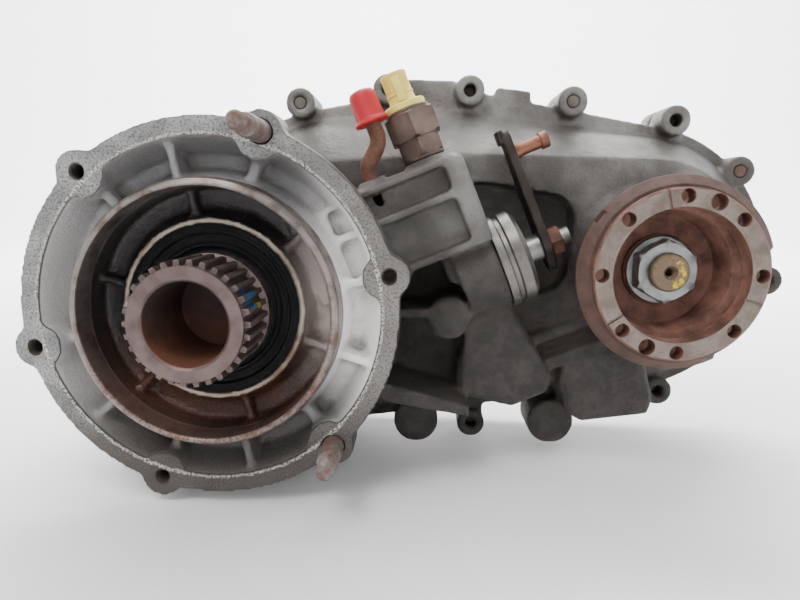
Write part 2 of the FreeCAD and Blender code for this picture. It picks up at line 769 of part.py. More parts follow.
def mode_sleeve_shape():
    front = size("chain_front") + size("chain_width") + 12 - size("mode_travel")
    back = front + 14
    body = join(
        disc(0, 0, 46, front, back), disc(0, 0, 50, front, front + 3), disc(0, 0, 50, back - 3, back)
    )
    slots = toothed(36, 38.2, 40.3, 0.56, front - 1, back + 1)
    return body.cut([disc(0, 0, 38.25, front - 1, back + 1), slots])


def sprocket_shape(bore, clutch):
    """An inverted-tooth chain sprocket, with a clutch ring on its rear face if it has one."""
    front, back = size("chain_front"), size("chain_front") + size("chain_width")
    tip, teeth = size("sprocket_tip"), int(size("sprocket_teeth"))
    body = join(
        toothed(teeth, tip - 4.5, tip, 0.5, front, back), disc(0, 0, tip - 4.4, front, back)
    )
    body = body.cut([
        disc(0, 0, 58, front - 1, front + 8).cut(disc(0, 0, 36, front - 2, front + 9)),
        disc(0, 0, 58, back - 8, back + 1).cut(disc(0, 0, 42, back - 9, back + 2)),
    ])
    holes = [disc(*polar(50, 60 * i), 6, front, back) for i in range(6)]
    body = body.cut(holes)
    if clutch:
        ring = join(disc(0, 0, 38.05, back - 1, back + 7), toothed(36, 38, 40, 0.46, back + 1, back + 7))
        body = join(body, ring)
    return body.cut(disc(0, 0, bore, front - 1, back + 8))


def chain_shape():
    """A loop of link blocks on pins: wide single blocks alternate with pairs of side plates."""
    radius, count = size("chain_line"), int(size("chain_links"))
    run = Vector(size("output_x"), 0, size("output_z"))
    straight, lean = run.Length, math.atan2(run.z, run.x)
    around = 2 * straight + 2 * math.pi * radius
    front, width = size("chain_front"), size("chain_width")

    def station(distance):
        distance %= around
        if distance < straight:
            x, z = distance, -radius
        elif distance < straight + math.pi * radius:
            angle = (distance - straight) / radius - math.pi / 2
            x, z = straight + radius * math.cos(angle), radius * math.sin(angle)
        elif distance < 2 * straight + math.pi * radius:
            x, z = 2 * straight + math.pi * radius - distance, radius
        else:
            angle = (distance - 2 * straight - math.pi * radius) / radius + math.pi / 2
            x, z = radius * math.cos(angle), radius * math.sin(angle)
        cos, sin = math.cos(lean), math.sin(lean)
        return x * cos - z * sin, x * sin + z * cos

    pins = [station(around * i / count) for i in range(count)]
    plate, bore, pin = 3.9, 2.2, 2.0
    links = []
    for i in range(count):
        start, end = pins[i], pins[(i + 1) % count]
        ends = [(*start, plate), (*end, plate - 0.001)]
        if i % 2:
            sides = [slab(ends, front + 0.5, front + 6), slab(ends, front + width - 6, front + width - 0.5)]
            bolts = [disc(*start, pin, front, front + width), disc(*end, pin, front, front + width)]
            links.append(sides[0].multiFuse(sides[1:] + bolts))
        else:
            middle = slab(ends, front + 6.4, front + width - 6.4)
            holes = [disc(*start, bore, front, front + width), disc(*end, bore, front, front + width)]
            links.append(middle.cut(holes))
    return Part.makeCompound([link for item in links for link in item.Solids])


def companion_flange_shape():
    """A cup with a machined bolt ring, a lobed outer rim and a splined hub."""
    face, floor, hub = size("cup_face"), size("cup_floor"), size("hub_radius")
    ring, bore = size("cup_ring"), size("cup_bore")
    rim = slab([(0, 0, 61), (5, 2.5, 60.5), (1, -1.5, 60.5)], face + 9, face + 20)
    sweep = [polar(40, -60), polar(90, -64), polar(90, -22), polar(90, 18), polar(40, 13)]
    swept = prism(sweep, face, face + 24)
    nick = prism([polar(50, 140), polar(80, 139), polar(80, 149), polar(50, 147)], face, face + 15)
    flats = [
        swept.cut(disc(0, 0, 55.5, face - 1, face + 25)),
        nick.cut(disc(0, 0, 57.5, face - 1, face + 16)),
    ]
    body = join(
        cone(0, 0, ring - 1, ring, face, face + 1), disc(0, 0, ring, face + 1, face + 6),
        cone(0, 0, ring + 2, 60, face + 5, face + 11), rim,
        cone(0, 0, 58, 45, face + 20, floor + 1), cone(0, 0, 45, 30, floor + 1, floor + 7),
        disc(0, 0, hub, floor, 75)
    )
    tools = flats + [
        disc(0, 0, bore, face - 1, face + 8), cone(0, 0, bore, 36, face + 8, floor),
        disc(0, 0, 14.2, floor - 1, 76), toothed(24, 14.1, 15.7, 0.54, floor - 1, 76),
    ]
    spots = [polar(size("cup_circle"), 45 * i) for i in range(8)]
    tools += [disc(*spot, size("cup_thread"), face - 1, face + 14) for spot in spots]
    tools += [disc(*polar(size("cup_circle"), a), 5, face - 1, face + 14) for a in (67.5, 247.5)]
    for turn in (103, -20, -145):
        groove = brick((bore - 2, face - 1, -0.8), (ring + 1, face + 1.2, 0.8))
        groove.rotate(Vector(), Vector(0, 1, 0), -turn)
        tools.append(groove)
    return body.cut(tools)


def output_shaft_shape():
    front, back = size("chain_front"), size("chain_front") + size("chain_width")
    body = join(
        cone(0, 0, 11, 12, 31, 32), disc(0, 0, 12, 32, 53.2), disc(0, 0, 14, 53.2, 75.5),
        toothed(24, 13.9, 15.5, 0.46, 54, 75), disc(0, 0, 20, 75.5, 96), disc(0, 0, 25, 96, front),
        disc(0, 0, size("shaft_journal") - 0.02, front, back + 4), disc(0, 0, 15, back + 4, 167)
    )
    return body.cut([cone(0, 0, 4.5, 2.5, 31, 34), disc(0, 0, 2.5, 33, 42)])


def balls(orbit, radius, count, y):
    spots = [polar(orbit, 360 * i / count) for i in range(count)]
    return [Part.makeSphere(radius, Vector(x, y, z)) for x, z in spots]


def inner_race_shape(bore, shoulder, ball, orbit, count, front, back):
    """A bearing's inner race with its balls."""
    race = disc(0, 0, shoulder, front, back).cut(disc(0, 0, bore, front, back))
    return Part.makeCompound([race] + balls(orbit, ball, count, (front + back) / 2))


def fork_shape(grip, outer, front, back, hub_front, hub_back):
    """A shift fork: a hub on the rail, an arm, and jaws round half of a sleeve's groove."""
    rail = TILT.multVec(Vector(size("rail_u"), 0, size("rail_v")))
    towards = math.atan2(rail.z, rail.x)
    across = (-math.sin(towards), math.cos(towards))
    jaws = disc(0, 0, outer, front, back)

    def beside(distance, side):
        return (
            distance * math.cos(towards) + side * across[0],
            distance * math.sin(towards) + side * across[1],
        )

    reach = math.hypot(rail.x, rail.z)
    arm = prism([beside(20, 30), beside(20, -30), beside(reach, -9), beside(reach, 9)], front, back)
    rib_outline = [beside(outer - 4, 3), beside(outer - 4, -3), beside(reach, -3), beside(reach, 3)]
    rib = prism(rib_outline, front, back + 2.5)
    away = prism([beside(-8, 90), beside(-8, -90), beside(-90, -90), beside(-90, 90)], front - 1, back + 1)
    hub = disc(rail.x, rail.z, 11, hub_front, hub_back)
    body = join(jaws, arm, rib, hub)
    return body.cut([
        disc(0, 0, grip, front - 20, back + 1), away,
        disc(rail.x, rail.z, size("rail_radius") + 0.05, hub_front - 1, hub_back + 4),
    ])


def range_fork_shape():
    """The range fork, with the slotted lug that the sector's pin drives."""
    half_swing = math.asin(size("range_travel") / 2 / size("sector_throw"))
    pin_y = size("sector_y") + size("sector_throw") * math.sin(half_swing)
    back = size("gear_front") + 50 + size("range_travel")
    body = fork_shape(34.4, 50, back - 10.6, back - 3.4, back - 48, back)
    lug = tilted(brick((151, pin_y - 9, -33), (157, pin_y + 9, size("rail_v") - 8)))
    slot = tilted(brick((150, pin_y - 4.45, -29.5), (158, pin_y + 4.45, -17.5)))
    notches = []
    for step in range(3):
        start = Vector(
            size("rail_u") - 10, size("detent_y") + size("range_travel") * step / 2, size("rail_v") + 12.5
        )
        notches.append(tilted(Part.makeCylinder(3, 20, start, Vector(1, 0, 0))))
    return join(body, lug).cut([slot] + notches)


def sector_shaft_shape():
    """The sector shaft with its arm and drive pin, drawn about +Y and pointing outwards."""
    throw = size("sector_throw")
    swing = math.asin(size("range_travel") / 2 / throw)
    shaft = join(
        disc(0, 0, 9, 158, 202), disc(0, 0, 8.5, 202, 208), disc(0, 0, 6, 208, 222)
    )
    x, z = -throw * math.sin(swing), throw * math.cos(swing)
    arm = join(slab([(0, 0, 13), (x, z, 6.5)], 158, 162.5), disc(x, z, 4, 150, 160))
    return join(shaft, arm).cut(disc(0, 0, 2.2, 216, 223))


def bent_tube(points, bends, radius, bore):
    """A tube along straight runs joined by tangent arcs of the given bend radii."""
    edges = []
    here = points[0]
    for before, corner, after, bend in zip(points, points[1:], points[2:], bends):
        inward, onward = (corner - before).normalize(), (after - corner).normalize()
        half = math.acos(max(-1, min(1, inward.dot(onward)))) / 2
        trim = bend * math.tan(half)
        start, end = corner - inward * trim, corner + onward * trim
        centre_way = (onward - inward).normalize()
        middle = corner + centre_way * (bend / math.cos(half) - bend)
        edges.append(Part.makeLine(here, start))
        edges.append(Part.Arc(start, middle, end).toShape())
        here = end
    edges.append(Part.makeLine(here, points[-1]))
    path = Part.Wire(edges)
    first = (points[1] - points[0]).normalize()
    shells = []
    for r in (radius, bore):
        ring = Part.Wire([Part.makeCircle(r, points[0], first)])
        shells.append(path.makePipeShell([ring], True, True))
    return shells[0].cut(shells[1])


def lever_shape():
    """The shift lever's plate, drawn about +Y with its long arm along +Z."""
    plate = slab([(0, 0, 13), (0, 70, 7), (0, 72, 6.5)], 202, 208)
    tail = slab([(0, -10, 8), (0, 0, 9)], 202, 208)
    tip = Part.makeBox(12, 4, 9, Vector(-6, 199.5, 70))
    return join(plate, tail, tip).cut(disc(0, 0, 8.52, 201, 209))


def tone_ring_shape():
    face = size("rear_face")
    ring = toothed(24, 27, 30, 0.5, face + 20, face + 30)
    return join(ring, disc(0, 0, 27.1, face + 20, face + 30)).cut(disc(0, 0, 21.02, face + 19, face + 31))


def rear_flange_shape():
    face = size("rear_face")
    body = join(
        disc(0, 0, 23.5, face + 46.5, face + 64), disc(0, 0, 52, face + 62, face + 73),
        cone(0, 0, 26, 36, face + 58, face + 62)
    )
    tools = [disc(0, 0, 17.7, face + 46, face + 74), toothed(24, 17.6, 19.2, 0.54, face + 46, face + 74)]
    tools += [disc(*polar(40, 90 * i + 45), 5.25, face + 61, face + 74) for i in range(4)]
    tools.append(disc(0, 0, 27, face + 70, face + 74))
    return body.cut(tools)


def coil_shape(radius, wire, low, high, turns):
    """A compression spring along +Y."""
    helix = Part.makeHelix((high - low) / turns, high - low, radius)
    helix.rotate(Vector(), Vector(1, 0, 0), -90)
    helix.translate(Vector(0, low, 0))
    start = helix.Edges[0].valueAt(helix.Edges[0].FirstParameter)
    way = helix.Edges[0].tangentAt(helix.Edges[0].FirstParameter)
    ring = Part.Wire([Part.makeCircle(wire, start, way)])
    return Part.Wire(helix.Edges).makePipeShell([ring], True, True)


# ---------------------------------------------------------------- the housing's sub-parts
shaped("front_case", front_case_shape())
shaped("rear_case", rear_case_shape())
shaped("extension_housing", extension_shape())

turned("input_seal", [
    ("seal_bore", "seal_boss_face + 1.5"), ("seal_bore - 5", "seal_boss_face + 1.5"),
    ("seal_bore - 6", "seal_boss_face + 3.5"), ("input_journal + 6", "seal_boss_face + 4"),
    ("input_journal + 5", "seal_boss_face + 2"), ("input_journal + 3.5", "seal_boss_face + 2"),
    ("input_journal + 3", "seal_boss_face + 4.5"), ("input_journal + 0.05", "seal_boss_face + 4"),
    ("input_journal + 0.05", "bell_floor"), ("seal_bore", "bell_floor"),
])
turned("input_bearing_outer", [
    ("bearing_rim - 5", "bearing_front"), ("bearing_rim - 0.02", "bearing_front"),
    ("bearing_rim - 0.02", "bearing_front + bearing_width"),
    ("bearing_rim - 5", "bearing_front + bearing_width"),
])
turned("front_output_seal", [
    (36, 62), (27, 62), ("hub_radius + 2", 65), ("hub_radius + 0.05", 66), ("hub_radius + 0.05", 73.5),
    (36, 73.5),
], OUTPUT)
turned("front_bearing_outer", [(35.4, 76.5), (39.98, 76.5), (39.98, 94.5), (35.4, 94.5)], OUTPUT)
turned("front_needle_bearing", [
    (15.05, "rear_floor - 19"), (21.98, "rear_floor - 19"), (21.98, "rear_floor - 3"),
    (15.05, "rear_floor - 3"),
], OUTPUT)
turned("rear_bearing_outer", [(37.4, 176.2), (42.48, 176.2), (42.48, 195), (37.4, 195)])
turned("rear_seal", [
    (32, "rear_face + 47"), (32, "rear_face + 56"), (27, "rear_face + 56"), (23.6, "rear_face + 53"),
    (23.6, "rear_face + 47"),
])
turned("oil_pump", [
    (32.1, "rear_face + 0.5"), (45.9, "rear_face + 0.5"), (45.9, "rear_face + 11"),
    (32.1, "rear_face + 11"),
])
turned("shift_rail", [
    (0, 31), ("rail_radius - 1", 31), ("rail_radius", 32), ("rail_radius", "rear_floor - 4"),
    ("rail_radius - 1", "rear_floor - 3"), (0, "rear_floor - 3"),
], RAIL)
turned("sector_collar", [
    (9.1, 172.2), (30.8, 172.2), (30.8, 177), (28.8, 178), (28.8, 180.5), (30.4, 181.5),
    (30.4, 188), (27, 191), (15, 191), (15, 193), (9.1, 193),
], SECTOR)
turned("vent_cap", [
    (4.85, 67.5), (10.6, 67.5), (10.6, 69.5), (9.2, 71.5), (8.4, 84), (6.5, 87), (0, 88), (0, 81), (4.85, 81),
], VENT_CAP)
turned("detent_plunger", [(0, 17.4), (1, 17.4), (3.2, 19.6), (3.2, 25), (0, 25)], DETENT)

snap = rod("snap_disc", "annulus_rim - 0.05", 1.8, (0, 60.2, 0))
snap_hole = rod("snap_hole", "annulus_rim - 5", 4, (0, 59, 0))
snap_gap = block("snap_gap", 20, 4, 8, ("annulus_rim - 12", 59, -4))
keep(cut("annulus_snap_ring_cut", snap, [snap_hole, snap_gap]), "annulus_snap_ring")

pins = [rod("dowel_%d" % i, 3.98, 15.5, (x, "split_line - 7.8", z)) for i, (x, z) in enumerate(DOWELS)]
keep(group("dowels", pins), "dowel_pins")

switch = fused("switch_form", [
    rod("switch_thread", 7.9, 14, (0, 24, 0)), rod("switch_washer", 13.5, 2, (0, 37.2, 0)),
    hexagon("switch_hex_low", 26, 12, (0, 39.2, 0)), hexagon("switch_hex_top", 31, 17, (0, 50, 0)),
    rod("switch_crimp", 14.4, 3, (0, 66, 0)),
])
keep(switch, "indicator_switch", SWITCH)
plug_body = fused("connector_body", [
    rod("connector_base", 13.4, 4, (0, 69.2, 0)), rod("connector_barrel", 8.2, 20, (0, 72, 0)),
    block("connector_key", 5, 16, 4, (-2.5, 74, 7)), block("connector_latch", 3, 12, 19, (-1.5, 76, -9.5)),
])
socket = rod("connector_socket", 6.2, 13, (0, 80, 0))
blades = [block("blade_%d" % i, 1, 9, 3, (-2.5 + 4 * i, 79, -1.5)) for i in range(2)]
shell = cut("connector_shell", plug_body, [socket])
keep(fused("connector_form", [shell] + blades), "switch_connector", SWITCH)

detent_head = fused("detent_head", [
    hexagon("detent_hex", 11, 5, (0, 40.2, 0)), rod("detent_shank", 4.95, 21, (0, 19.6, 0)),
])
detent_hollow = rod("detent_hollow", 3.3, 18.6, (0, 19.4, 0))
keep(cut("detent_plug_cut", detent_head, [detent_hollow]), "detent_plug", DETENT)
shaped("detent_spring", coil_shape(2.5, 0.45, 25.6, 37.4, 5), DETENT)

foot_u, vent_y = VENT_SPOT
vent_points = [
    Vector(foot_u, vent_y, 27), Vector(foot_u, vent_y, 44), Vector(foot_u + 14, vent_y, 56),
    Vector(foot_u + 14, vent_y, 78),
]
shaped("vent_tube", tilted(bent_tube(vent_points, (9, 12), 4.8, 3)))


def bolt(name, x, z, seat, tip, shank, across):
    """A flanged hex bolt whose head sits behind its seat and whose shank runs forwards."""
    return fused(name, [
        rod(name + "_shank", shank, seat - tip, (x, tip, z)),
        rod(name + "_flange", across * 0.62, 2, (x, seat, z)),
        hexagon(name + "_hex", across, 6, (x, seat + 2, z)),
    ])


case_bolts = []
for i, (x, z) in enumerate(RIM_BOSSES):
    tip = size("boss_front") + (0.8 if i in LONG_BOLTS else 13)
    case_bolts.append(bolt("case_bolt_%d" % i, x, z, size("split_line") + 20, tip, size("bolt_shank"), 13))
for i, turn in enumerate(EXTENSION_TURNS):
    x, z = polar(size("extension_circle"), turn)
    seat, tip = size("rear_face") + 10, size("rear_face") - 15
    case_bolts.append(bolt("extension_bolt_%d" % i, x, z, seat, tip, size("bolt_shank"), 13))
keep(group("case_bolt_set", case_bolts), "case_bolts")

studs = []
for i, (ear, reach) in enumerate(zip(STUD_EARS, STUD_REACHES)):
    x, z = polar(size("ear_circle"), EAR_TURNS[ear])
    plain = reach * STUD_PLAIN_SHARE
    studs.append(fused("stud_%d" % i, [
        rod("stud_root_%d" % i, "ear_thread - 0.05", 20, (x, 0, z)),
        rod("stud_collar_%d" % i, "stud_collar", "stud_seat_depth", (x, -0.4, z)),
        rod("stud_plain_%d" % i, "stud_plain", plain - 0.3, (x, -plain, z)),
        rod("stud_thread_%d" % i, 5, reach - plain, (x, -reach, z)),
    ]))
keep(group("stud_set", studs), "flange_studs")

plugs = []
for i, (x, z) in enumerate(PLUG_SPOTS):
    plugs.append(fused("plug_%d" % i, [
        rod("plug_shank_%d" % i, 8.9, 12, (x, "rear_floor - 8", z)),
        rod("plug_collar_%d" % i, 12.5, 2, (x, "rear_floor + 4", z)),
        hexagon("plug_hex_%d" % i, 17, 7, (x, "rear_floor + 4", z)),
    ]))
keep(group("plug_set", plugs), "case_plugs")

sensor = fused("sensor_form", [
    rod("sensor_shank", 7.95, 35, (0, 31.5, 0)), rod("sensor_collar", 12, 4, (0, 62.2, 0)),
    block("sensor_head", 16, 14, 20, (-8, 66, -10)), rod("sensor_socket", 7, 12, (0, 73, 8), UPRIGHT),
])
keep(sensor, "speed_sensor", Placement(Vector(0, size("rear_face") + 26, 0), Y_TO_Z))

across, down = PICKUP_SPOT
pickup_points = [Vector(across, 203.5, down), Vector(across, 147, down), Vector(across, 147, down - 15)]
shaped("pickup_tube", bent_tube(pickup_points, (9,), 6, 4.5))
filter_box = block("filter_box", 38, 11, 9, (across - 18, 141.5, down - 24.2))
filter_foot = block("filter_foot", 28, 8, 3, (across - 13, 143, down - 26))
keep(fused("filter_form", [filter_box, filter_foot]), "pickup_filter")

# ---------------------------------------------------------------- the turning sub-parts
shaped("input_shaft", input_shaft_shape())
shaped("input_bearing_inner", inner_race_shape(35.02, 40.2, 4.7, 45.0, 14, 22, 35))
shaped("annulus_gear", annulus_shape())
shaped("planet_carrier", carrier_shape())
pins = []
for k in range(int(size("planet_count"))):
    x, z = polar(planet_orbit(), 90 * k)
    phase = math.radians(15 if k % 2 == 0 else 0)
    shaped("planet_gear_%d" % (k + 1), planet_shape(phase), Placement(Vector(x, 0, z), UPRIGHT))
    pins.append(rod("pin_%d" % k, "pin_radius - 0.02", "gear_width + 9.6", (x, "gear_front - 3.6", z)))
keep(group("pin_set", pins), "planet_pins")
shaped("main_shaft", main_shaft_shape())
shaped("range_sleeve", range_sleeve_shape())
shaped("mode_hub", mode_hub_shape())
shaped("mode_sleeve", mode_sleeve_shape())
shaped("drive_sprocket", sprocket_shape(size("shaft_journal") + 0.05, True))
shaped("driven_sprocket", sprocket_shape(size("shaft_journal"), False), OUTPUT)
shaped("chain", chain_shape())
shaped("rear_bearing_inner", inner_race_shape(22.52, 27.6, 4.7, 32.5, 12, 176.4, 194.8))
shaped("speed_ring", tone_ring_shape())
shaped("rear_output_flange", rear_flange_shape())
turned("oil_pump_rotor", [
    (21.05, "rear_face + 1"), (31.9, "rear_face + 1"),
    (31.9, "rear_face + 10.5"), (21.05, "rear_face + 10.5"),
])
rear_nut = cut("rear_nut_cut", fused("rear_nut_form", [
    hexagon("rear_nut_hex", 30, 13, (0, "rear_face + 70.1", 0)),
    rod("rear_nut_flange", 18, 2.5, (0, "rear_face + 70.1", 0)),
]), [rod("rear_nut_bore", 12.05, 20, (0, "rear_face + 68", 0))])
keep(rear_nut, "rear_output_nut")

shaped("front_output_shaft", output_shaft_shape(), OUTPUT)
shaped("front_bearing_inner", inner_race_shape(20.02, 25, 4.9, 30.25, 11, 76.6, 94.4), OUTPUT)
shaped("companion_flange", companion_flange_shape(), OUTPUT)
turned("flange_washer", [
    (12.1, "cup_floor - 3"), (23, "cup_floor - 3"), (23, "cup_floor"), (12.1, "cup_floor"),
], OUTPUT)
front_nut = cut("front_nut_cut", fused("front_nut_form", [
    hexagon("front_nut_hex", 36, 13, (0, "cup_floor - 17", 0)),
    rod("front_nut_flange", 22, 2.6, (0, "cup_floor - 5.6", 0)),
]), [rod("front_nut_bore", 12.05, 20, (0, "cup_floor - 18", 0))])
keep(front_nut, "flange_nut", OUTPUT)

# ---------------------------------------------------------------- the shifting sub-parts
shaped("sector_shaft", sector_shaft_shape(), SECTOR)
shaped("range_fork", range_fork_shape())
back = size("chain_front") + size("chain_width") + 22.6 - size("mode_travel")
shaped("mode_fork", fork_shape(46.4, 60, back - 7.2, back, back - 20.6, back))
shaped("shift_lever", lever_shape(), SECTOR)
lever_nut = cut("lever_nut_cut", hexagon("lever_nut_hex", 17, 8, (0, 208.1, 0)), [
    rod("lever_nut_bore", 6.05, 12, (0, 207, 0)),
])
keep(lever_nut, "lever_nut", SECTOR)
lever_stud = fused("lever_stud_form", [
    rod("lever_stud_stem", 4.2, 20, (0, 208, 63)), rod("lever_stud_neck", 5.2, 3, (0, 208, 63)),
    rod("lever_stud_head", 5.4, 5, (0, 225, 63)),
])
keep(lever_stud, "lever_stud", SECTOR)

doc.recompute()
for item in doc.Objects:
    if "Invalid" in item.State or "Error" in item.State:
        raise RuntimeError("%s did not recompute" % item.Label)
for label, item in NODES.items():
    if item.Shape.isNull() or not item.Shape.isValid() or item.Shape.Volume <= 0:
        raise RuntimeError("%s has no valid shape" % label)

os.makedirs("parts", exist_ok=True)
for label, item in NODES.items():
    item.Shape.exportStep("parts/%s.step" % label)
print("%d sub-parts written" % len(NODES))
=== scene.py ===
"""Looks of a used transfer case: cast aluminium cases, a rusty front flange, worn machined faces.

Lengths in the helpers are millimetres; Blender gets metres. The frame's origin is on the input
axis at the input flange's face: +X towards the front output, +Y rearwards, +Z up.
"""

import json
import math

import bmesh
import bpy
from mathutils import Matrix, Vector


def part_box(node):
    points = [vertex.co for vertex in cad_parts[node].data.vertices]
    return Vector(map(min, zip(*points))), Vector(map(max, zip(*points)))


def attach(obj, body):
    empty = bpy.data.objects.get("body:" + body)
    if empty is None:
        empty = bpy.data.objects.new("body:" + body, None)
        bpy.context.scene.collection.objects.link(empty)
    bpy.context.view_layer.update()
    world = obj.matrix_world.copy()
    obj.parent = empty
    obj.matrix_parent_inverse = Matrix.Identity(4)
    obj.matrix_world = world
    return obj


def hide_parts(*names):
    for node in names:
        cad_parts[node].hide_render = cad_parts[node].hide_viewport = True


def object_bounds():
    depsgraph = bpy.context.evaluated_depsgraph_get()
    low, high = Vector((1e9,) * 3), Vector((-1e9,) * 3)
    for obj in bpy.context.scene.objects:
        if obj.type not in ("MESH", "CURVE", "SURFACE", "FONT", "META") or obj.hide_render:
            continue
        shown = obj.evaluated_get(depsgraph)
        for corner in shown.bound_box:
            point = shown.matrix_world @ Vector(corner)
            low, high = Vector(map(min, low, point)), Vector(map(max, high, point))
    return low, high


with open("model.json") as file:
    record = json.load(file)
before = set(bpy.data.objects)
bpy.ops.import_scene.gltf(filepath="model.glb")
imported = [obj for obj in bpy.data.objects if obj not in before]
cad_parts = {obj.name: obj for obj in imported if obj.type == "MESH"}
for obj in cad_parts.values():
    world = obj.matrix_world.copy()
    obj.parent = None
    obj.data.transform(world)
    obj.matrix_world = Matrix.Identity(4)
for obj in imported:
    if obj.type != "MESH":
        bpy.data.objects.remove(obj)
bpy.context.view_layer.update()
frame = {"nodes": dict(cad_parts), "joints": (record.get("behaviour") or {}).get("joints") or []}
MM = 0.001
SURFACE_SAMPLES = 6


def centre(node):
    """The middle of a CAD node's box, in millimetres."""
    low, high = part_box(node)
    return (Vector(low) + Vector(high)) / 2 / MM


OUTPUT_X, _, OUTPUT_Z = centre("front_output_shaft")


# ---------------------------------------------------------------- node trees
class Paint:
    """One material's node tree, written as expressions. Distances are in millimetres."""

    def __init__(self, name):
        self.material = bpy.data.materials.new(name)
        self.material.use_nodes = True
        self.tree = self.material.node_tree
        self.shader = self.tree.nodes["Principled BSDF"]
        place = self.tree.nodes.new("ShaderNodeTexCoord").outputs["Object"]
        self.place = self.vector("SCALE", place, scale=1 / MM)
        axes = self.tree.nodes.new("ShaderNodeSeparateXYZ")
        self.tree.links.new(self.place, axes.inputs[0])
        self.x, self.y, self.z = axes.outputs

    def give(self, socket, value):
        """Link a socket to a node's output, or set it to a number or tuple."""
        if isinstance(value, bpy.types.NodeSocket):
            self.tree.links.new(value, socket)
        else:
            socket.default_value = value

    def math(self, kind, *values):
        node = self.tree.nodes.new("ShaderNodeMath")
        node.operation = kind
        for socket, value in zip(node.inputs, values):
            self.give(socket, value)
        return node.outputs[0]

    def vector(self, kind, *values, scale=None):
        node = self.tree.nodes.new("ShaderNodeVectorMath")
        node.operation = kind
        for socket, value in zip(node.inputs, values):
            self.give(socket, value)
        if scale is not None:
            node.inputs["Scale"].default_value = scale
        return node.outputs["Value"] if kind in ("LENGTH", "DOT_PRODUCT") else node.outputs[0]

    def add(self, *values):
        total = values[0]
        for value in values[1:]:
            total = self.math("ADD", total, value)
        return total

    def times(self, *values):
        total = values[0]
        for value in values[1:]:
            total = self.math("MULTIPLY", total, value)
        return total

    def fade(self, value, start, end):
        """0 at start and before, 1 at end and after; start may be the larger."""
        node = self.tree.nodes.new("ShaderNodeMapRange")
        node.interpolation_type = "SMOOTHSTEP"
        self.give(node.inputs["Value"], value)
        self.give(node.inputs["From Min"], start)
        self.give(node.inputs["From Max"], end)
        return node.outputs[0]

    def band(self, value, low, high, soft=0.4):
        """1 from low to high, with soft edges."""
        rise = self.fade(value, low - soft, low + soft)
        return self.times(rise, self.fade(value, high + soft, high - soft))

    def noise(self, size, detail=4.0, roughness=0.55, shift=0.0):
        """Noise whose largest lumps are about size across."""
        space = self.vector("MULTIPLY", self.place, (1 / size, 1 / size, 1 / size))
        if shift:
            space = self.vector("ADD", space, (shift, shift, shift))
        node = self.tree.nodes.new("ShaderNodeTexNoise")
        self.give(node.inputs["Vector"], space)
        node.inputs["Scale"].default_value = 1.0
        node.inputs["Detail"].default_value = detail
        node.inputs["Roughness"].default_value = roughness
        return node.outputs["Fac"]

    def mix(self, share, first, second):
        """Colour mix: first where share is 0, second where it is 1."""
        node = self.tree.nodes.new("ShaderNodeMix")
        node.data_type = "RGBA"
        self.give(node.inputs[0], share)
        for socket, value in ((node.inputs[6], first), (node.inputs[7], second)):
            self.give(socket, (*value, 1.0) if isinstance(value, tuple) else value)
        return node.outputs[2]

    def blend(self, share, first, second):
        """Number mix: first where share is 0, second where it is 1."""
        node = self.tree.nodes.new("ShaderNodeMix")
        self.give(node.inputs[0], share)
        self.give(node.inputs[2], first)
        self.give(node.inputs[3], second)
        return node.outputs[0]

    def radius(self, x=0.0, z=0.0):
        """Distance from an axis along Y."""
        return self.math("SQRT", self.add(
            self.math("POWER", self.math("SUBTRACT", self.x, x), 2.0),
            self.math("POWER", self.math("SUBTRACT", self.z, z), 2.0),
        ))

    def near(self, point, reach):
        """1 within reach of a point, fading to 0 over a third more."""
        away = self.vector("LENGTH", self.vector("SUBTRACT", self.place, Vector(point)))
        return self.fade(away, reach * 1.33, reach)

    def hollow(self, reach):
        """1 where the surface is tucked away in a corner, 0 where it is open."""
        node = self.tree.nodes.new("ShaderNodeAmbientOcclusion")
        node.samples = SURFACE_SAMPLES
        node.inputs["Distance"].default_value = reach * MM
        return self.math("SUBTRACT", 1.0, node.outputs["AO"])

    def facing(self, direction):
        """How far the surface faces a direction, -1 to 1."""
        normal = self.tree.nodes.new("ShaderNodeTexCoord").outputs["Normal"]
        return self.vector("DOT_PRODUCT", normal, direction)

    def round_edges(self, reach):
        """A normal that makes sharp edges look rounded."""
        node = self.tree.nodes.new("ShaderNodeBevel")
        node.samples = SURFACE_SAMPLES
        node.inputs["Radius"].default_value = reach * MM
        return node.outputs[0]

    def bump(self, height, depth, normal=None):
        """A height of 0 to 1 makes relief of depth millimetres."""
        node = self.tree.nodes.new("ShaderNodeBump")
        node.inputs["Distance"].default_value = depth * MM
        self.give(node.inputs["Height"], height)
        if normal is not None:
            self.give(node.inputs["Normal"], normal)
        return node.outputs[0]

    def finish(self, colour, roughness, metallic=0.0, normal=None):
        """Feed the shader and return the material."""
        self.give(self.shader.inputs["Base Color"], colour)
        self.give(self.shader.inputs["Roughness"], roughness)
        self.give(self.shader.inputs["Metallic"], metallic)
        if normal is not None:
            self.give(self.shader.inputs["Normal"], normal)
        return self.material


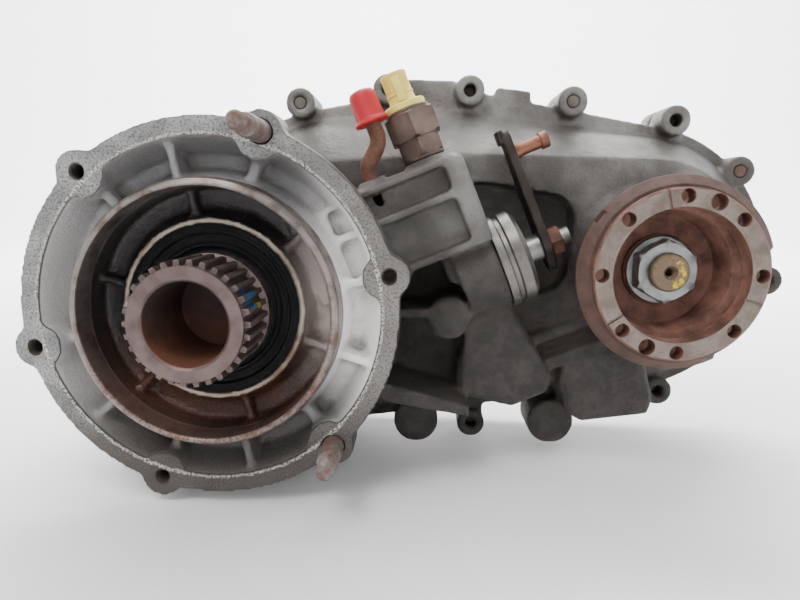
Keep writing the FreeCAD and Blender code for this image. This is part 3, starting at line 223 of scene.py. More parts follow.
# ---------------------------------------------------------------- colours (linear)
ALUMINIUM_PALE = (0.235, 0.226, 0.214)
ALUMINIUM_DULL = (0.105, 0.097, 0.090)
GRIME_AND_SHADE = (0.040, 0.031, 0.024)
DRY_DIRT_AND_SHADE = (0.055, 0.045, 0.038)
DUSTY_SHADE_DARK = (0.012, 0.010, 0.009)
DUSTY_SHADE = (0.036, 0.029, 0.026)
FACE_DULL = (0.20, 0.20, 0.202)
FACE_PALE = (0.37, 0.368, 0.362)
FACE_BROWN = (0.14, 0.115, 0.10)
FACE_PITS = (0.085, 0.08, 0.076)
FACE_LOWER_DARK = (0.058, 0.047, 0.040)
SEALANT_CRUST = (0.62, 0.60, 0.55)
TROUGH_DULL = (0.22, 0.215, 0.218)
TROUGH_PALE = (0.46, 0.45, 0.445)
TROUGH_LIT = (0.93, 0.91, 0.90)
TROUGH_LOWER_DARK = (0.075, 0.066, 0.06)
TROUGH_STAIN_AND_SHADE = (0.07, 0.058, 0.047)
RING_BRIGHT = (0.27, 0.235, 0.22)
RING_BROWN = (0.13, 0.09, 0.073)
BELL_SHADE_BLACK = (0.010, 0.0085, 0.009)
BELL_BROWN = (0.034, 0.028, 0.027)
BELL_LIT = (0.46, 0.39, 0.36)
BOSS_PALE = (0.36, 0.31, 0.26)
BOSS_BROWN = (0.17, 0.115, 0.08)
RUST_DARK = (0.050, 0.021, 0.013)
RUST_RED = (0.155, 0.062, 0.036)
RUST_ORANGE = (0.30, 0.115, 0.045)
RUST_GREY = (0.16, 0.14, 0.12)
CUP_RUST_DARK = (0.080, 0.036, 0.026)
CUP_RUST_RED = (0.23, 0.105, 0.078)
CUP_RUST_ORANGE = (0.24, 0.11, 0.065)
CUP_RUST_GREY = (0.13, 0.105, 0.095)
RIM_RUST_DARK = (0.030, 0.019, 0.015)
RIM_RUST_BROWN = (0.080, 0.046, 0.034)
BOLT_RING_PALE = (0.205, 0.17, 0.145)
BOLT_RING_DULL = (0.12, 0.092, 0.073)
BOLT_RING_RUST = (0.085, 0.05, 0.038)
TUBE_PALE = (0.165, 0.122, 0.117)
TUBE_DULL = (0.105, 0.076, 0.072)
TUBE_BORE = (0.045, 0.028, 0.022)
SHAFT_DARK = (0.07, 0.045, 0.028)
SHAFT_PALE = (0.24, 0.17, 0.105)
FLOOR_DULL = (0.90, 0.90, 0.90)
FLOOR_PALE = (0.93, 0.93, 0.93)
RUBBER_BLACK = (0.003, 0.003, 0.0035)
RUBBER_DUSTY = (0.009, 0.008, 0.0075)
STEEL = (0.40, 0.385, 0.365)
YELLOW_PAINT = (0.62, 0.43, 0.02)
BLUE_PAINT = (0.02, 0.17, 0.36)

# Radii about the input axis that tell the machined places of the front case apart.
BOSS_RADII = (51.5, 55.9)
BELL_RADIUS = 73.4
RING_RADII = (73.0, 79.2)
TROUGH_RADII = (79.0, 101.5)
FACE_RADIUS = 93.0
FORWARDS = (0, -1, 0)


def cast_skin(paint):
    """Sand-cast aluminium with grime and painted shade in its corners, and darker towards the bottom with
    dust and painted shade: colour, roughness, a mask of dirt and painted shade, and relief.
    """
    broad = paint.noise(46, 5)
    mottled = paint.noise(9, 6, 0.65, shift=7)
    grain = paint.noise(1.3, 3, 0.6)
    colour = paint.mix(paint.fade(broad, 0.35, 0.68), ALUMINIUM_DULL, ALUMINIUM_PALE)
    colour = paint.mix(paint.times(paint.fade(mottled, 0.5, 0.78), 0.45), colour, ALUMINIUM_DULL)
    # Ambient occlusion paints shade into corners and hollows, where grime also sits.
    tucked = paint.times(paint.hollow(16), 1.25)
    stained = paint.add(tucked, paint.times(paint.math("SUBTRACT", mottled, 0.5), 0.7))
    # Darker towards the bottom: painted shade mixed with dust.
    wandering = paint.add(paint.z, paint.times(paint.math("SUBTRACT", broad, 0.5), 70))
    low_down = paint.fade(wandering, 102, 12)
    # The dirt mask holds grime together with painted shade in hollows and low down; its colours paint that
    # shade too.
    dirt = paint.fade(paint.add(stained, paint.times(low_down, 0.3)), 0.26, 0.86)
    dust_and_shade = paint.mix(paint.fade(mottled, 0.36, 0.66), DUSTY_SHADE_DARK, DUSTY_SHADE)
    colour = paint.mix(paint.times(low_down, 0.95), colour, dust_and_shade)
    colour = paint.mix(dirt, colour, paint.mix(paint.noise(14, 3, shift=3), GRIME_AND_SHADE, DRY_DIRT_AND_SHADE))
    colour = paint.mix(paint.times(paint.fade(paint.x, 315, 380), 0.7), colour, DRY_DIRT_AND_SHADE)
    colour = paint.mix(paint.times(paint.fade(grain, 0.52, 0.75), 0.3), colour, GRIME_AND_SHADE)
    dirt = paint.math("MAXIMUM", dirt, paint.times(low_down, 0.7))
    relief = paint.add(
        paint.times(grain, 0.8), paint.times(mottled, 2.2), paint.times(paint.noise(3.5, 4), 0.9)
    )
    return colour, paint.blend(dirt, 0.5, 0.78), dirt, relief


def case_material():
    paint = Paint("cast_case")
    colour, roughness, dirt, relief = cast_skin(paint)
    normal = paint.bump(relief, 0.5, paint.round_edges(2.2))
    return paint.finish(colour, roughness, paint.blend(dirt, 0.45, 0.0), normal)


def flange_face(paint, r, speck, patch, front):
    """The input flange's machined face: where it is, its colour, its pits and its old sealant."""
    where = paint.times(front, paint.fade(paint.y, 1.2, 0.4), paint.fade(r, FACE_RADIUS - 1, FACE_RADIUS + 1))
    colour = paint.mix(paint.fade(patch, 0.35, 0.7), FACE_DULL, FACE_PALE)
    colour = paint.mix(paint.times(paint.fade(paint.x, 30, 100), 0.6), colour, FACE_BROWN)
    pits = paint.fade(speck, 0.49, 0.36)
    colour = paint.mix(paint.times(pits, 0.8), colour, FACE_PITS)
    # Darker towards the bottom.
    colour = paint.mix(paint.times(paint.fade(paint.z, -30, -95), 0.92), colour, FACE_LOWER_DARK)
    ragged = paint.add(r, paint.times(paint.math("SUBTRACT", paint.noise(4, 4, 0.7), 0.5), 5.0))
    crust = paint.times(paint.band(ragged, 101.4, 103.8, 0.5), paint.fade(speck, 0.42, 0.52))
    colour = paint.mix(paint.times(crust, 0.85), colour, SEALANT_CRUST)
    return where, colour, pits, crust


def flange_trough(paint, r):
    """The ribbed trough round the pilot ring, pale where the light falls in."""
    where = paint.times(paint.band(r, *TROUGH_RADII, 0.5), paint.band(paint.y, 0.8, 30))
    sideways = paint.add(paint.math("ABSOLUTE", paint.x), paint.times(paint.noise(30, 3, shift=2), 50))
    colour = paint.mix(paint.fade(sideways, 60, 115), TROUGH_DULL, TROUGH_PALE)
    colour = paint.mix(paint.fade(paint.x, 50, 85), colour, TROUGH_LIT)
    # Darker towards the bottom.
    colour = paint.mix(paint.times(paint.fade(paint.z, -30, -85), 0.85), colour, TROUGH_LOWER_DARK)
    # Stains, with painted shade in the hollows from ambient occlusion.
    stain_and_shade = paint.add(paint.hollow(9), paint.times(paint.noise(7, 4, shift=9), 0.5))
    return where, paint.mix(paint.fade(stain_and_shade, 0.35, 0.9), colour, TROUGH_STAIN_AND_SHADE)


def pilot_ring(paint, r, speck):
    """The machined pilot ring, rusty towards its lower side."""
    where = paint.times(paint.band(r, *RING_RADII, 0.2), paint.fade(paint.y, 6, 3))
    colour = paint.mix(paint.fade(paint.noise(12, 4, shift=4), 0.45, 0.7), RING_BRIGHT, RING_BROWN)
    rust = paint.times(paint.fade(paint.z, 20, -75), paint.fade(speck, 0.45, 0.6))
    return where, paint.mix(rust, colour, RUST_RED)


def bell(paint, r, speck):
    """The inside of the bell: painted near-black as shade, lit at the right and rusty at the bottom."""
    where = paint.times(paint.fade(r, BELL_RADIUS + 0.2, BELL_RADIUS - 0.2), paint.fade(paint.y, -14, -10))
    rust = paint.fade(paint.add(paint.times(paint.z, -0.012), paint.noise(16, 5, 0.65)), 0.5, 1.15)
    # Near-black painted shade inside the bell, mottled with brown.
    colour = paint.mix(paint.noise(10, 4), BELL_SHADE_BLACK, BELL_BROWN)
    colour = paint.mix(paint.fade(paint.x, 38, 72), colour, BELL_LIT)
    colour = paint.mix(rust, colour, RUST_DARK)
    return where, paint.mix(paint.times(rust, paint.fade(speck, 0.5, 0.66)), colour, RUST_RED)


def front_case_material():
    """The casting, and by place on it: the flange face, trough, pilot ring, bell and seal boss."""
    paint = Paint("cast_front_case")
    colour, roughness, dirt, relief = cast_skin(paint)
    r = paint.radius()
    front = paint.fade(paint.facing(FORWARDS), 0.8, 0.97)
    speck = paint.noise(1.3, 3, 0.7, shift=11)
    patch = paint.noise(24, 4, shift=5)

    face, face_colour, pits, crust = flange_face(paint, r, speck, patch, front)
    trough, trough_colour = flange_trough(paint, r)
    ring, ring_colour = pilot_ring(paint, r, speck)
    cavity, cavity_colour = bell(paint, r, speck)
    boss = paint.times(paint.band(r, *BOSS_RADII, 0.2), paint.fade(paint.y, 10.2, 9.6), front)
    boss_colour = paint.mix(paint.fade(patch, 0.4, 0.7), BOSS_PALE, BOSS_BROWN)
    for where, tint, dullness in (
        (face, face_colour, 0.62), (trough, trough_colour, 0.42), (ring, ring_colour, 0.3),
        (cavity, cavity_colour, 0.36),
    ):
        colour = paint.mix(where, colour, tint)
        roughness = paint.blend(where, roughness, dullness)
    colour = paint.mix(boss, colour, boss_colour)

    metal = paint.blend(paint.math("MAXIMUM", ring, boss), paint.blend(dirt, 0.45, 0.0), 0.85)
    metal = paint.blend(cavity, metal, paint.times(boss, 0.8))
    lathe_marks = paint.math("SINE", paint.times(r, 7.0))
    relief = paint.blend(ring, relief, paint.times(lathe_marks, 0.15))
    relief = paint.blend(face, relief, paint.add(paint.times(pits, -0.8), paint.times(crust, 1.2)))
    normal = paint.bump(relief, 0.48, paint.round_edges(2.0))
    return paint.finish(colour, roughness, metal, normal)


def steel_material(name, colour=STEEL, rust=0.3, roughness=0.34, lathe=True):
    """Machined metal with some rust, and with turning marks about the input axis if lathe."""
    paint = Paint(name)
    speck = paint.noise(2.2, 4, 0.7)
    broad = paint.noise(15, 4, shift=6)
    tint = paint.mix(paint.fade(broad, 0.3, 0.7), colour, tuple(c * 0.6 for c in colour))
    blotches = paint.add(paint.times(broad, 0.7), paint.times(speck, 0.5))
    rusty = paint.fade(blotches, 1.0 - rust, 1.25 - rust)
    tint = paint.mix(rusty, tint, paint.mix(speck, RUST_DARK, RUST_RED))
    relief = paint.times(speck, 0.5)
    if lathe:
        marks = paint.math("SINE", paint.times(paint.radius(), 6.0))
        relief = paint.add(relief, paint.times(marks, 0.12))
    normal = paint.bump(relief, 0.12, paint.round_edges(0.5))
    return paint.finish(tint, paint.blend(rusty, roughness, 0.75), paint.blend(rusty, 0.9, 0.05), normal)


def rust_material(name, bright=0.5):
    """Rusty forged or pressed steel; bright is the share of fresh orange rust."""
    paint = Paint(name)
    broad, fine = paint.noise(12, 5, 0.6), paint.noise(1.6, 4, 0.75, shift=4)
    colour = paint.mix(paint.fade(broad, 0.3, 0.7), RUST_DARK, RUST_RED)
    colour = paint.mix(paint.times(paint.fade(fine, 0.5, 0.7), bright), colour, RUST_ORANGE)
    colour = paint.mix(paint.times(paint.fade(broad, 0.6, 0.75), 0.5), colour, RUST_GREY)
    normal = paint.bump(paint.add(paint.times(fine, 0.8), broad), 0.35, paint.round_edges(0.7))
    return paint.finish(colour, 0.78, 0.1, normal)


def companion_material():
    """The front output flange: rusty cup, darker rim, and a machined ring worn to tan grey."""
    paint = Paint("front_flange_steel")
    r = paint.radius(OUTPUT_X, OUTPUT_Z)
    behind = paint.math("SUBTRACT", paint.y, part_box("companion_flange")[0][1] / MM)
    broad, fine = paint.noise(14, 5, 0.6), paint.noise(1.5, 4, 0.7, shift=8)
    rust = paint.mix(paint.fade(broad, 0.30, 0.66), CUP_RUST_DARK, CUP_RUST_RED)
    rust = paint.mix(paint.times(paint.fade(fine, 0.5, 0.7), 0.35), rust, CUP_RUST_ORANGE)
    rust = paint.mix(paint.times(paint.fade(broad, 0.55, 0.8), 0.55), rust, CUP_RUST_GREY)
    outside = paint.times(paint.fade(r, 49, 54), paint.fade(behind, 1.0, 2.4), paint.blend(fine, 0.6, 0.95))
    rust = paint.mix(outside, rust, paint.mix(broad, RIM_RUST_DARK, RIM_RUST_BROWN))
    ring = paint.times(paint.fade(behind, 2.2, 0.8), paint.fade(paint.facing(FORWARDS), 0.7, 0.95))
    machined = paint.mix(paint.fade(broad, 0.35, 0.7), BOLT_RING_PALE, BOLT_RING_DULL)
    machined = paint.mix(paint.fade(fine, 0.57, 0.68), machined, BOLT_RING_RUST)
    worn = paint.times(ring, paint.fade(paint.add(fine, paint.times(broad, 0.4)), 0.98, 0.8))
    marks = paint.math("SINE", paint.times(r, 5.0))
    relief = paint.blend(ring, paint.add(broad, paint.times(fine, 0.7)), paint.times(marks, 0.12))
    normal = paint.bump(relief, 0.4, paint.round_edges(0.8))
    colour = paint.mix(worn, rust, machined)
    return paint.finish(colour, paint.blend(worn, 0.72, 0.45), paint.blend(worn, 0.1, 0.4), normal)


def rubber_material():
    """Dull black rubber with fine moulded ridges."""
    paint = Paint("seal_rubber")
    fine = paint.noise(1.2, 3)
    colour = paint.mix(paint.fade(paint.noise(9, 4), 0.5, 0.8), RUBBER_BLACK, RUBBER_DUSTY)
    ridges = paint.math("SINE", paint.times(paint.radius(), 2.6))
    paint.shader.inputs["Specular IOR Level"].default_value = 0.2
    return paint.finish(colour, 0.7, 0.0, paint.bump(paint.add(fine, paint.times(ridges, 0.5)), 0.25))


def plastic_material(name, colour, dirt=0.3):
    """Moulded plastic, dirty in patches, with grime and painted shade in its corners."""
    paint = Paint(name)
    broad, fine = paint.noise(7, 4), paint.noise(0.9, 3, shift=3)
    patches = paint.times(paint.fade(broad, 0.35, 0.75), dirt)
    tint = paint.mix(patches, colour, tuple(c * 0.35 for c in colour))
    # Grime and painted shade in the corners, from ambient occlusion.
    tint = paint.mix(paint.times(paint.fade(paint.hollow(4), 0.3, 0.9), 0.7), tint, GRIME_AND_SHADE)
    normal = paint.bump(fine, 0.12, paint.round_edges(0.5))
    return paint.finish(tint, paint.blend(broad, 0.4, 0.6), 0.0, normal)


def input_shaft_material():
    """The splined input tube: worn steel with two old paint marks outside, rust in the bore."""
    paint = Paint("input_shaft_steel")
    r = paint.radius()
    speck, broad = paint.noise(1.8, 4, 0.7), paint.noise(11, 4, shift=2)
    colour = paint.mix(paint.fade(broad, 0.35, 0.7), TUBE_PALE, TUBE_DULL)
    inside = paint.fade(r, 24.2, 23.6)
    stained = paint.fade(paint.add(paint.times(paint.z, -0.02), broad), 0.3, 1.0)
    colour = paint.mix(inside, colour, paint.mix(stained, TUBE_BORE, RUST_RED))
    flanks = paint.times(paint.fade(r, 34.5, 32.0), paint.fade(r, 31.0, 31.6), paint.fade(speck, 0.4, 0.6))
    colour = paint.mix(paint.times(flanks, 0.45), colour, RUST_DARK)
    for spot, reach, tint in (((32.5, -21, 13), 6.0, BLUE_PAINT), ((34, -13, 8), 3.2, YELLOW_PAINT)):
        dab = paint.times(paint.near(spot, reach), paint.fade(speck, 0.38, 0.5))
        colour = paint.mix(dab, colour, tint)
    normal = paint.bump(paint.add(speck, paint.times(broad, 0.5)), 0.14, paint.round_edges(0.6))
    return paint.finish(colour, paint.blend(inside, 0.42, 0.6), paint.blend(inside, 0.75, 0.2), normal)


def front_shaft_material():
    """The front shaft: a brown end with a ragged stroke of yellow paint."""
    paint = Paint("front_shaft_steel")
    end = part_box("front_output_shaft")[0][1] / MM
    fine = paint.noise(1.6, 4, 0.7)
    colour = paint.mix(fine, SHAFT_DARK, SHAFT_PALE)
    for across, up in ((5.0, 5.4), (6.8, 2.6), (7.4, -0.4), (6.2, -5.6), (3.6, -7.4)):
        dab = paint.near((OUTPUT_X + across, end, OUTPUT_Z + up), 1.9)
        colour = paint.mix(paint.times(dab, paint.fade(fine, 0.42, 0.56)), colour, YELLOW_PAINT)
    return paint.finish(colour, 0.5, 0.4, paint.bump(fine, 0.2, paint.round_edges(0.6)))


MATERIALS = {
    "case": case_material(),
    "front_case": front_case_material(),
    "companion": companion_material(),
    "input": input_shaft_material(),
    "machined": steel_material("machined_aluminium", (0.47, 0.455, 0.43), 0.12, 0.36),
    "ground": steel_material("ground_steel", (0.45, 0.44, 0.43), 0.1, 0.25),
    "gear": steel_material("gear_steel", (0.36, 0.35, 0.34), 0.15, 0.35),
    "nut": steel_material("front_nut_zinc", (0.31, 0.31, 0.305), 0.12, 0.4, False),
    "bolt": steel_material("dull_zinc_bolts", (0.15, 0.135, 0.12), 0.45, 0.55, False),
    "stud": steel_material("rusty_stud", (0.25, 0.22, 0.20), 0.5, 0.5, False),
    "switch": steel_material("switch_brown_zinc", (0.19, 0.14, 0.115), 0.3, 0.5, False),
    "blacked": steel_material("blacked_lever", (0.052, 0.043, 0.039), 0.28, 0.55, False),
    "collar": steel_material("sector_collar_aluminium", (0.24, 0.225, 0.21), 0.2, 0.4),
    "rust": rust_material("rusty_steel"),
    "dark_rust": rust_material("dark_rusty_steel", 0.15),
    "copper": steel_material("coppered_stud", (0.26, 0.115, 0.075), 0.45, 0.45, False),
    "front_shaft": front_shaft_material(),
    "rubber": rubber_material(),
    "red": plastic_material("red_cap_plastic", (0.45, 0.006, 0.014), 0.15),
    "cream": plastic_material("cream_connector_plastic", (0.84, 0.69, 0.15), 0.22),
    "black": plastic_material("black_plastic", (0.018, 0.018, 0.019), 0.2),
}
NODE_MATERIAL = {
    "front_case": "front_case", "rear_case": "case", "extension_housing": "case",
    "companion_flange": "companion", "input_shaft": "input", "front_output_shaft": "front_shaft",
    "flange_nut": "nut", "flange_washer": "dark_rust",
    "sector_collar": "collar", "oil_pump": "machined", "range_fork": "machined", "mode_fork": "machined",
    "indicator_switch": "rust", "vent_tube": "rust", "shift_lever": "blacked", "lever_nut": "dark_rust",
    "flange_studs": "bolt", "rear_output_flange": "dark_rust", "rear_output_nut": "nut",
    "lever_stud": "copper",
    "case_bolts": "bolt", "case_plugs": "bolt", "detent_plug": "bolt", "pickup_tube": "bolt",
    "input_seal": "rubber", "front_output_seal": "rubber", "rear_seal": "rubber",
    "vent_cap": "red", "switch_connector": "cream", "speed_sensor": "black", "pickup_filter": "black",
}
GROUND = ("bearing", "rail", "detent", "dowel", "snap", "pins", "rotor")  # words in names of ground pieces


def dress_nodes():
    """Give every CAD node its material."""
    for name, item in frame["nodes"].items():
        key = NODE_MATERIAL.get(name) or ("ground" if any(word in name for word in GROUND) else "gear")
        item.data.materials.clear()
        item.data.materials.append(MATERIALS[key])


# ---------------------------------------------------------------- stage
def floor_material():
    paint = Paint("studio_floor")
    return paint.finish(paint.mix(paint.noise(400, 2), FLOOR_DULL, FLOOR_PALE), 0.9)


def make_stage():
    """A pale round floor that curves up far away on every side, so that no horizon shows."""
    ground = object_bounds()[0][2] - 0.0005
    reach, bend, steps, sides = 5.0, 2.0, 10, 64
    outline = [(0.0, 0.0)]
    for i in range(steps + 1):
        turn = math.pi / 2 * i / steps
        outline.append((reach - bend + bend * math.sin(turn), bend - bend * math.cos(turn)))
    outline.append((reach, 2 * bend))
    bm = bmesh.new()
    rings = []
    for radius, rise in outline:
        rings.append([
            bm.verts.new((radius * math.cos(turn), radius * math.sin(turn), ground + rise))
            for turn in (2 * math.pi * i / sides for i in range(sides if radius else 1))
        ])
    for i in range(sides):
        bm.faces.new([rings[0][0], rings[1][i], rings[1][(i + 1) % sides]])
        for here, after in zip(rings[1:], rings[2:]):
            bm.faces.new([here[i], after[i], after[(i + 1) % sides], here[(i + 1) % sides]])
    mesh = bpy.data.meshes.new("studio_floor")
    bm.to_mesh(mesh)
    bm.free()
    mesh.shade_smooth()
    mesh.materials.append(floor_material())
    floor = bpy.data.objects.new("studio_floor", mesh)
    bpy.context.collection.objects.link(floor)


def area_light(name, place, target, width, power, tint=(1, 1, 1)):
    """A square lamp that points at target, in metres and watts."""
    data = bpy.data.lights.new(name, "AREA")
    data.size, data.energy, data.color = width, power, tint
    lamp = bpy.data.objects.new(name, data)
    lamp.location = place
    lamp.rotation_euler = (Vector(target) - Vector(place)).to_track_quat("-Z", "Y").to_euler()
    bpy.context.collection.objects.link(lamp)


def make_lights():
    """Soft lamps from the upper left, above and the right, and one on the floor's far rise."""
    middle = (0.14, 0.05, 0.0)
    area_light("key", (-0.4, -0.8, 1.4), middle, 0.8, 21, (1.0, 0.985, 0.96))
    area_light("top", (0.25, 0.3, 1.5), middle, 1.0, 13)
    area_light("fill", (1.3, -0.9, 0.5), middle, 1.2, 6, (0.95, 0.97, 1.0))
    area_light("backdrop", (0, 1.6, 2.6), (0, 4.4, 0.4), 3.0, 720)
    world = bpy.data.worlds.new("studio")
    world.use_nodes = True
    background = world.node_tree.nodes["Background"]
    background.inputs["Color"].default_value = (0.9, 0.92, 0.95, 1)
    background.inputs["Strength"].default_value = 0.3
    bpy.context.scene.world = world


def make_camera():
    """The photograph's standpoint: close to the flange, a little above and looking down."""
    look_up, look_left, lens = math.radians(80.58), math.radians(1.85), 26.3
    data = bpy.data.cameras.new("photo_camera")
    data.lens = lens
    camera = bpy.data.objects.new("photo_camera", data)
    camera.location = (0.1236, -0.3345, 0.0638)
    camera.rotation_euler = (look_up, 0, look_left)
    bpy.context.collection.objects.link(camera)
    bpy.context.scene.camera = camera


# ---------------------------------------------------------------- frames
JOINTS = {joint["name"]: joint for joint in frame["joints"]}
LEVER = JOINTS["shift_lever_turn"]
TILT = Matrix.Rotation(-math.atan2(LEVER["axis"][2], LEVER["axis"][0]), 4, "Y")
OUTPUT = Matrix.Translation((OUTPUT_X, 0, OUTPUT_Z))
UPWARDS = Matrix.Rotation(math.radians(90), 4, "X")


def span(node, place):
    """Lowest and highest corner of a CAD node in a turned frame, in millimetres."""
    inverse = place.inverted()
    points = [inverse @ (vertex.co / MM) for vertex in frame["nodes"][node].data.vertices]
    low = Vector(min(p[axis] for p in points) for axis in range(3))
    high = Vector(max(p[axis] for p in points) for axis in range(3))
    return low, high


# ---------------------------------------------------------------- mesh helpers
def new_piece(name, mesh, material, body, smooth=40):
    """A visible piece that rides on a body; edges sharper than smooth degrees stay sharp."""
    piece = bpy.data.objects.new(name, mesh)
    bpy.context.collection.objects.link(piece)
    mesh.materials.clear()
    mesh.materials.append(MATERIALS[material])
    mesh.shade_smooth()
    mesh.set_sharp_from_angle(angle=math.radians(smooth))
    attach(piece, body)
    return piece


def baked(source, name):
    """The mesh of an object with its modifiers applied."""
    evaluated = source.evaluated_get(bpy.context.evaluated_depsgraph_get())
    mesh = bpy.data.meshes.new_from_object(evaluated)
    mesh.name = name
    return mesh


def scratch(mesh):
    """An object that lives only while modifiers are worked out."""
    item = bpy.data.objects.new("scratch", mesh)
    bpy.context.collection.objects.link(item)
    return item


def ring_of(bm, place, radius, along, steps):
    """Vertices round place's Y axis; radius is a number or a function of the angle."""
    turns = [2 * math.pi * i / steps for i in range(steps)]
    reach = radius if callable(radius) else lambda turn: radius
    return [
        bm.verts.new(place @ Vector((reach(turn) * math.cos(turn), along, reach(turn) * math.sin(turn))) * MM)
        for turn in turns
    ]


def turned_mesh(bm, pairs, name):
    """Join pairs of vertex rings with faces and hand over the mesh."""
    for here, after in pairs:
        for i in range(len(here)):
            following = (i + 1) % len(here)
            corners = list(dict.fromkeys([here[i], here[following], after[following], after[i]]))
            if len(corners) > 2:
                bm.faces.new(corners)
    return closed_mesh(bm, name)


def closed_mesh(bm, name):
    """A mesh from a bmesh, with its normals outwards."""
    bmesh.ops.recalc_face_normals(bm, faces=bm.faces)
    mesh = bpy.data.meshes.new(name)
    bm.to_mesh(mesh)
    bm.free()
    return mesh


def lathe(profile, place, steps=72, closed=True):
    """A mesh turned about place's Y axis from (radius, along) corners."""
    bm = bmesh.new()
    rings = []
    for radius, along in profile:
        if radius < 1e-6:
            rings.append([bm.verts.new(place @ Vector((0, along, 0)) * MM)] * steps)
        else:
            rings.append(ring_of(bm, place, radius, along, steps))
    after = rings[1:] + rings[:1] if closed else rings[1:]
    return turned_mesh(bm, zip(rings, after), "turned")


def bead(radius, low, high, place, soft=1.0, bore=0.0):
    """A turned disc with rounded rims, solid or with a bore."""
    turns = [math.pi / 2 * share for share in (0.0, 0.3, 0.7, 1.0)]
    front = [(radius - soft * (1 - math.sin(turn)), low + soft * (1 - math.cos(turn))) for turn in turns]
    back = [(r, low + high - along) for r, along in reversed(front)]
    return lathe([(bore, low), *front, *back, (bore, high)], place)


def hex_body(flats, low, high, place, chamfer=1.4, bore=0.0, steps=72):
    """A hexagonal bar whose corners are turned off at both ends, as on a nut."""
    half = math.radians(30)
    corner = flats / 2 / math.cos(half)

    def outline(taken):
        return lambda turn: min(flats / 2 / math.cos((turn + half) % (2 * half) - half), corner - taken)

    bm = bmesh.new()
    shoulder = chamfer * 0.6
    levels = [(low, chamfer), (low + shoulder, 0.0), (high - shoulder, 0.0), (high, chamfer)]
    rings = [ring_of(bm, place, outline(taken), along, steps) for along, taken in levels]
    if bore:
        rings += [ring_of(bm, place, bore, along, steps) for along in (high, low)]
        return turned_mesh(bm, zip(rings, rings[1:] + rings[:1]), "hexagon")
    bm.faces.new(rings[0])
    bm.faces.new(rings[-1])
    return turned_mesh(bm, zip(rings, rings[1:]), "hexagon")


def slab_mesh(low, high, place, soft):
    """A small block whose edges are bevelled."""
    bm = bmesh.new()
    corners = [bm.verts.new(place @ Vector((x, y, z)) * MM)
               for x in (low[0], high[0]) for y in (low[1], high[1]) for z in (low[2], high[2])]
    for quad in ((0, 1, 3, 2), (4, 6, 7, 5), (0, 4, 5, 1), (2, 3, 7, 6), (0, 2, 6, 4), (1, 5, 7, 3)):
        bm.faces.new([corners[i] for i in quad])
    bmesh.ops.recalc_face_normals(bm, faces=bm.faces)
    bmesh.ops.bevel(bm, geom=list(bm.edges), offset=soft * MM, segments=2, affect="EDGES", profile=0.6)
    return closed_mesh(bm, "slab")


def thread_profile(radius, low, high, pitch, depth):
    """The saw-edged outline of a thread, as corners for lathe."""
    corners = []
    along = low
    while along < high - pitch:
        corners += [(radius - depth, along), (radius, along + pitch * 0.45), (radius, along + pitch * 0.55)]
        along += pitch
    return corners + [(radius - depth, along)]


def merged(meshes):
    """One mesh that holds several."""
    bm = bmesh.new()
    for mesh in meshes:
        bm.from_mesh(mesh)
    result = bpy.data.meshes.new("merged")
    bm.to_mesh(result)
    bm.free()
    return result


# ---------------------------------------------------------------- castings
def cast(node, material, voxel, rounds, crisp=None, body="housing", faces=180000):
    """A CAD casting or forging with its corners melted soft, from cubes of voxel millimetres.

    crisp says how much a vertex keeps its place: 1 on machined faces, 0 on the skin. Above faces
    the mesh is thinned.
    """
    rough = scratch(frame["nodes"][node].data.copy())
    remesh = rough.modifiers.new("skin", "REMESH")
    remesh.mode = "VOXEL"
    remesh.voxel_size = voxel * MM
    mesh = baked(rough, node + "_skin")
    bpy.data.objects.remove(rough)
    soft = scratch(mesh)
    group = soft.vertex_groups.new(name="soft")
    for vertex in mesh.vertices:
        hold = crisp(vertex.co / MM) if crisp else 0.0
        if hold < 1.0:
            group.add([vertex.index], 1.0 - hold, "REPLACE")
    smooth = soft.modifiers.new("melt", "SMOOTH")
    smooth.factor = 0.5
    smooth.iterations = rounds
    smooth.vertex_group = group.name
    if len(mesh.polygons) > faces:
        thin = soft.modifiers.new("thin", "DECIMATE")
        thin.ratio = faces / (2 * len(mesh.polygons))  # each four-sided face counts as two triangles
    result = baked(soft, node + "_cast")
    bpy.data.objects.remove(soft)
    piece = new_piece(node + "_skin", result, material, body, smooth=60)
    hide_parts(node)
    return piece


def front_crisp(point):
    """Machined places of the front case keep their shape."""
    r = math.hypot(point.x, point.z)
    pilot = r < 86 and point.y < 3
    boss = r < BOSS_RADII[1] + 1.1 and point.y < 12
    if pilot or boss:
        return 1.0
    return 0.75 if point.y < 1.6 and r > FACE_RADIUS - 1 else 0.0


def make_room(piece, moving, travel, room=1.0):
    """Set a casting's inner stop back a little, so that a ring at the end of its travel clears it."""
    _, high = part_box(moving)
    boss_radius, skin = high[0] / MM + 16, 4
    stop = high[1] / MM + travel
    for vertex in piece.data.vertices:
        point = vertex.co / MM
        if math.hypot(point.x, point.z) < boss_radius and stop - skin < point.y < stop + room:
            vertex.co.y = (stop + room) * MM


cast("front_case", "front_case", 1.5, 8, front_crisp)
rear_skin = cast("rear_case", "case", 2.0, 6)
make_room(rear_skin, "mode_sleeve", JOINTS["mode_fork_slide"]["range_m"][1] / MM)
cast("extension_housing", "case", 1.6, 6)
cast("shift_lever", "blacked", 0.8, 4, None, "sector")

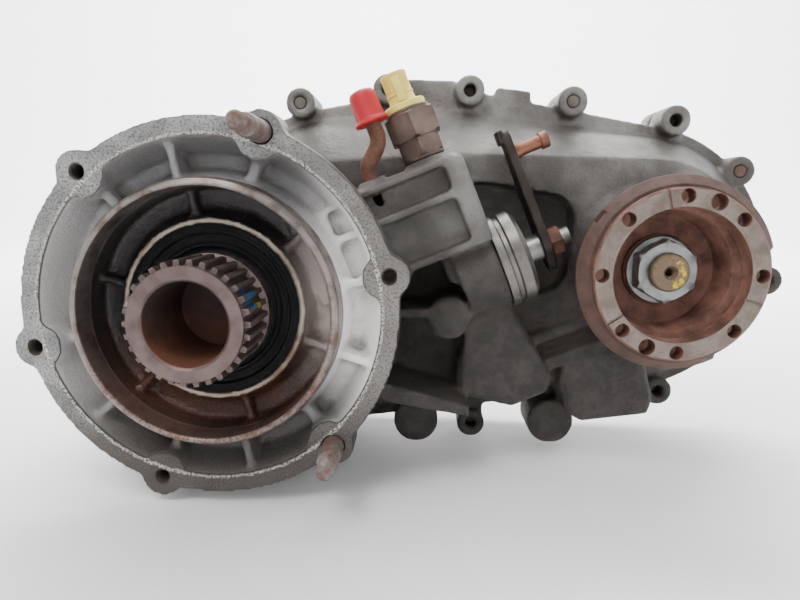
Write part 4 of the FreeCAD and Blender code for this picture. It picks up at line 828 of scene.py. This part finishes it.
# ---------------------------------------------------------------- seen details
def add_studs():
    """The flange's two studs: a plain sleeve, a thread and a rounded tip."""
    node = frame["nodes"]["flange_studs"]
    points = [vertex.co / MM for vertex in node.data.vertices]
    sleeve, neck, thread, pitch, depth = 6.5, 4.2, 4.95, 1.5, 0.75
    meshes = []
    for upper in (True, False):
        mine = [p for p in points if (p.z > 0) == upper]
        low = Vector(min(p[i] for p in mine) for i in range(3))
        high = Vector(max(p[i] for p in mine) for i in range(3))
        place = Matrix.Translation(((low.x + high.x) / 2, 0, (low.z + high.z) / 2))
        tip, plain = low.y, low.y * 0.6
        profile = [(0.0, 0.0), (sleeve, 0.0), (sleeve, plain + 1.0), (sleeve - 0.6, plain)]
        profile += [(neck, plain - 0.3)]
        profile += reversed(thread_profile(thread, tip + 2.2, plain - 0.4, pitch, depth))
        profile += [(4.1, tip + 1.6), (3.4, tip + 0.5), (2.2, tip + 0.05), (0.0, tip)]
        meshes.append(lathe(profile, place, closed=False, steps=40))
    piece = new_piece("flange_stud_pair", merged(meshes), "stud", "housing")
    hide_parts("flange_studs")


def upright(node):
    """The frame of a node that stands along the tilted shift box: Y runs up its axis."""
    low, high = span(node, TILT)
    return TILT @ Matrix.Translation(((low.x + high.x) / 2, (low.y + high.y) / 2, 0)) @ UPWARDS


def add_switch():
    """The four-wheel-drive lamp switch: a washer, two hexagons and a crimped neck."""
    place = upright("indicator_switch")
    root, washer, small_hex, large_hex, crimp, neck = 30.0, 36.9, 39.2, 50.0, 66.2, 69.0
    body = [
        bead(13.4, washer, small_hex + 0.2, place, 0.6),
        hex_body(26, small_hex, large_hex + 0.4, place, 1.2),
        hex_body(31, large_hex, crimp + 0.4, place, 2.2),
        bead(14.3, crimp, neck, place, 1.1),
        bead(7.8, root, washer + 0.3, place, 0.3),
    ]
    piece = new_piece("indicator_switch_body", merged(body), "switch", "housing")
    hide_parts("indicator_switch")
    add_connector(place, neck)


def add_connector(place, base):
    """The switch's connector: a stepped barrel with an open mouth, a latch, a key and two pins."""
    mouth, mouth_floor = 91.9, 80.2
    foot, barrel, rib, inside = 13.2, 8.1, 8.6, 6.2
    profile = [
        (0.0, base), (foot, base), (foot, base + 3.2), (foot - 0.8, base + 4.0), (9.3, base + 4.2),
        (rib, base + 5.4), (barrel, base + 9.0), (rib, base + 9.4), (rib, base + 10.6), (barrel, base + 11.0),
        (barrel, mouth - 2.4), (8.4, mouth - 2.0), (8.4, mouth - 0.4), (8.0, mouth), (6.4, mouth),
        (inside, mouth - 0.5), (inside, mouth_floor), (0.0, mouth_floor),
    ]
    latch = ((-2.4, 73.4, 7.2), (2.4, 89.0, 10.9))
    key = ((-1.5, 76.2, -9.5), (1.5, 87.8, -7.6))
    pins = [((-2.5, 79, -1.5), (-1.5, 88, 1.5)), ((1.5, 79, -1.5), (2.5, 88, 1.5))]
    parts = [lathe(profile, place, closed=False)]
    parts += [slab_mesh(low, high, place, 0.5) for low, high in (latch, key, *pins)]
    piece = new_piece("switch_connector_shell", merged(parts), "cream", "housing")
    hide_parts("switch_connector")


def add_vent_cap():
    """A red plastic push-on cap with a brim."""
    low, high = span("vent_cap", TILT)
    base, top, tube = low.z, high.z, 4.9
    profile = [
        (tube, base), (9.6, base), (10.4, base + 0.4), (10.6, base + 1.0), (10.4, base + 1.7),
        (9.5, base + 2.3), (8.9, base + 4.0), (8.5, top - 5.5), (8.2, top - 3.0), (7.2, top - 1.1),
        (5.4, top - 0.3), (3.6, top - 0.1), (3.3, top - 0.6), (1.4, top - 0.7), (1.2, top), (0.0, top),
        (0.0, top - 7.0), (tube, top - 7.0),
    ]
    piece = new_piece("red_vent_cap", lathe(profile, upright("vent_cap")), "red", "housing")
    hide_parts("vent_cap")


def add_front_nut():
    """The nut in the front flange's cup: turned corners, a flange and the shaft's end in it."""
    low, high = span("flange_nut", OUTPUT)
    front, back, bore = low.y, high.y, 12.1
    parts = [
        hex_body(36, front, back - 2.2, OUTPUT, 2.4, bore),
        bead(21.9, back - 2.6, back, OUTPUT, 0.7, bore),
    ]
    piece = new_piece("front_flange_nut", merged(parts), "nut", "front_output")
    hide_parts("flange_nut")


add_studs()
add_switch()
add_vent_cap()
add_front_nut()

make_camera()
dress_nodes()
make_stage()
make_lights()
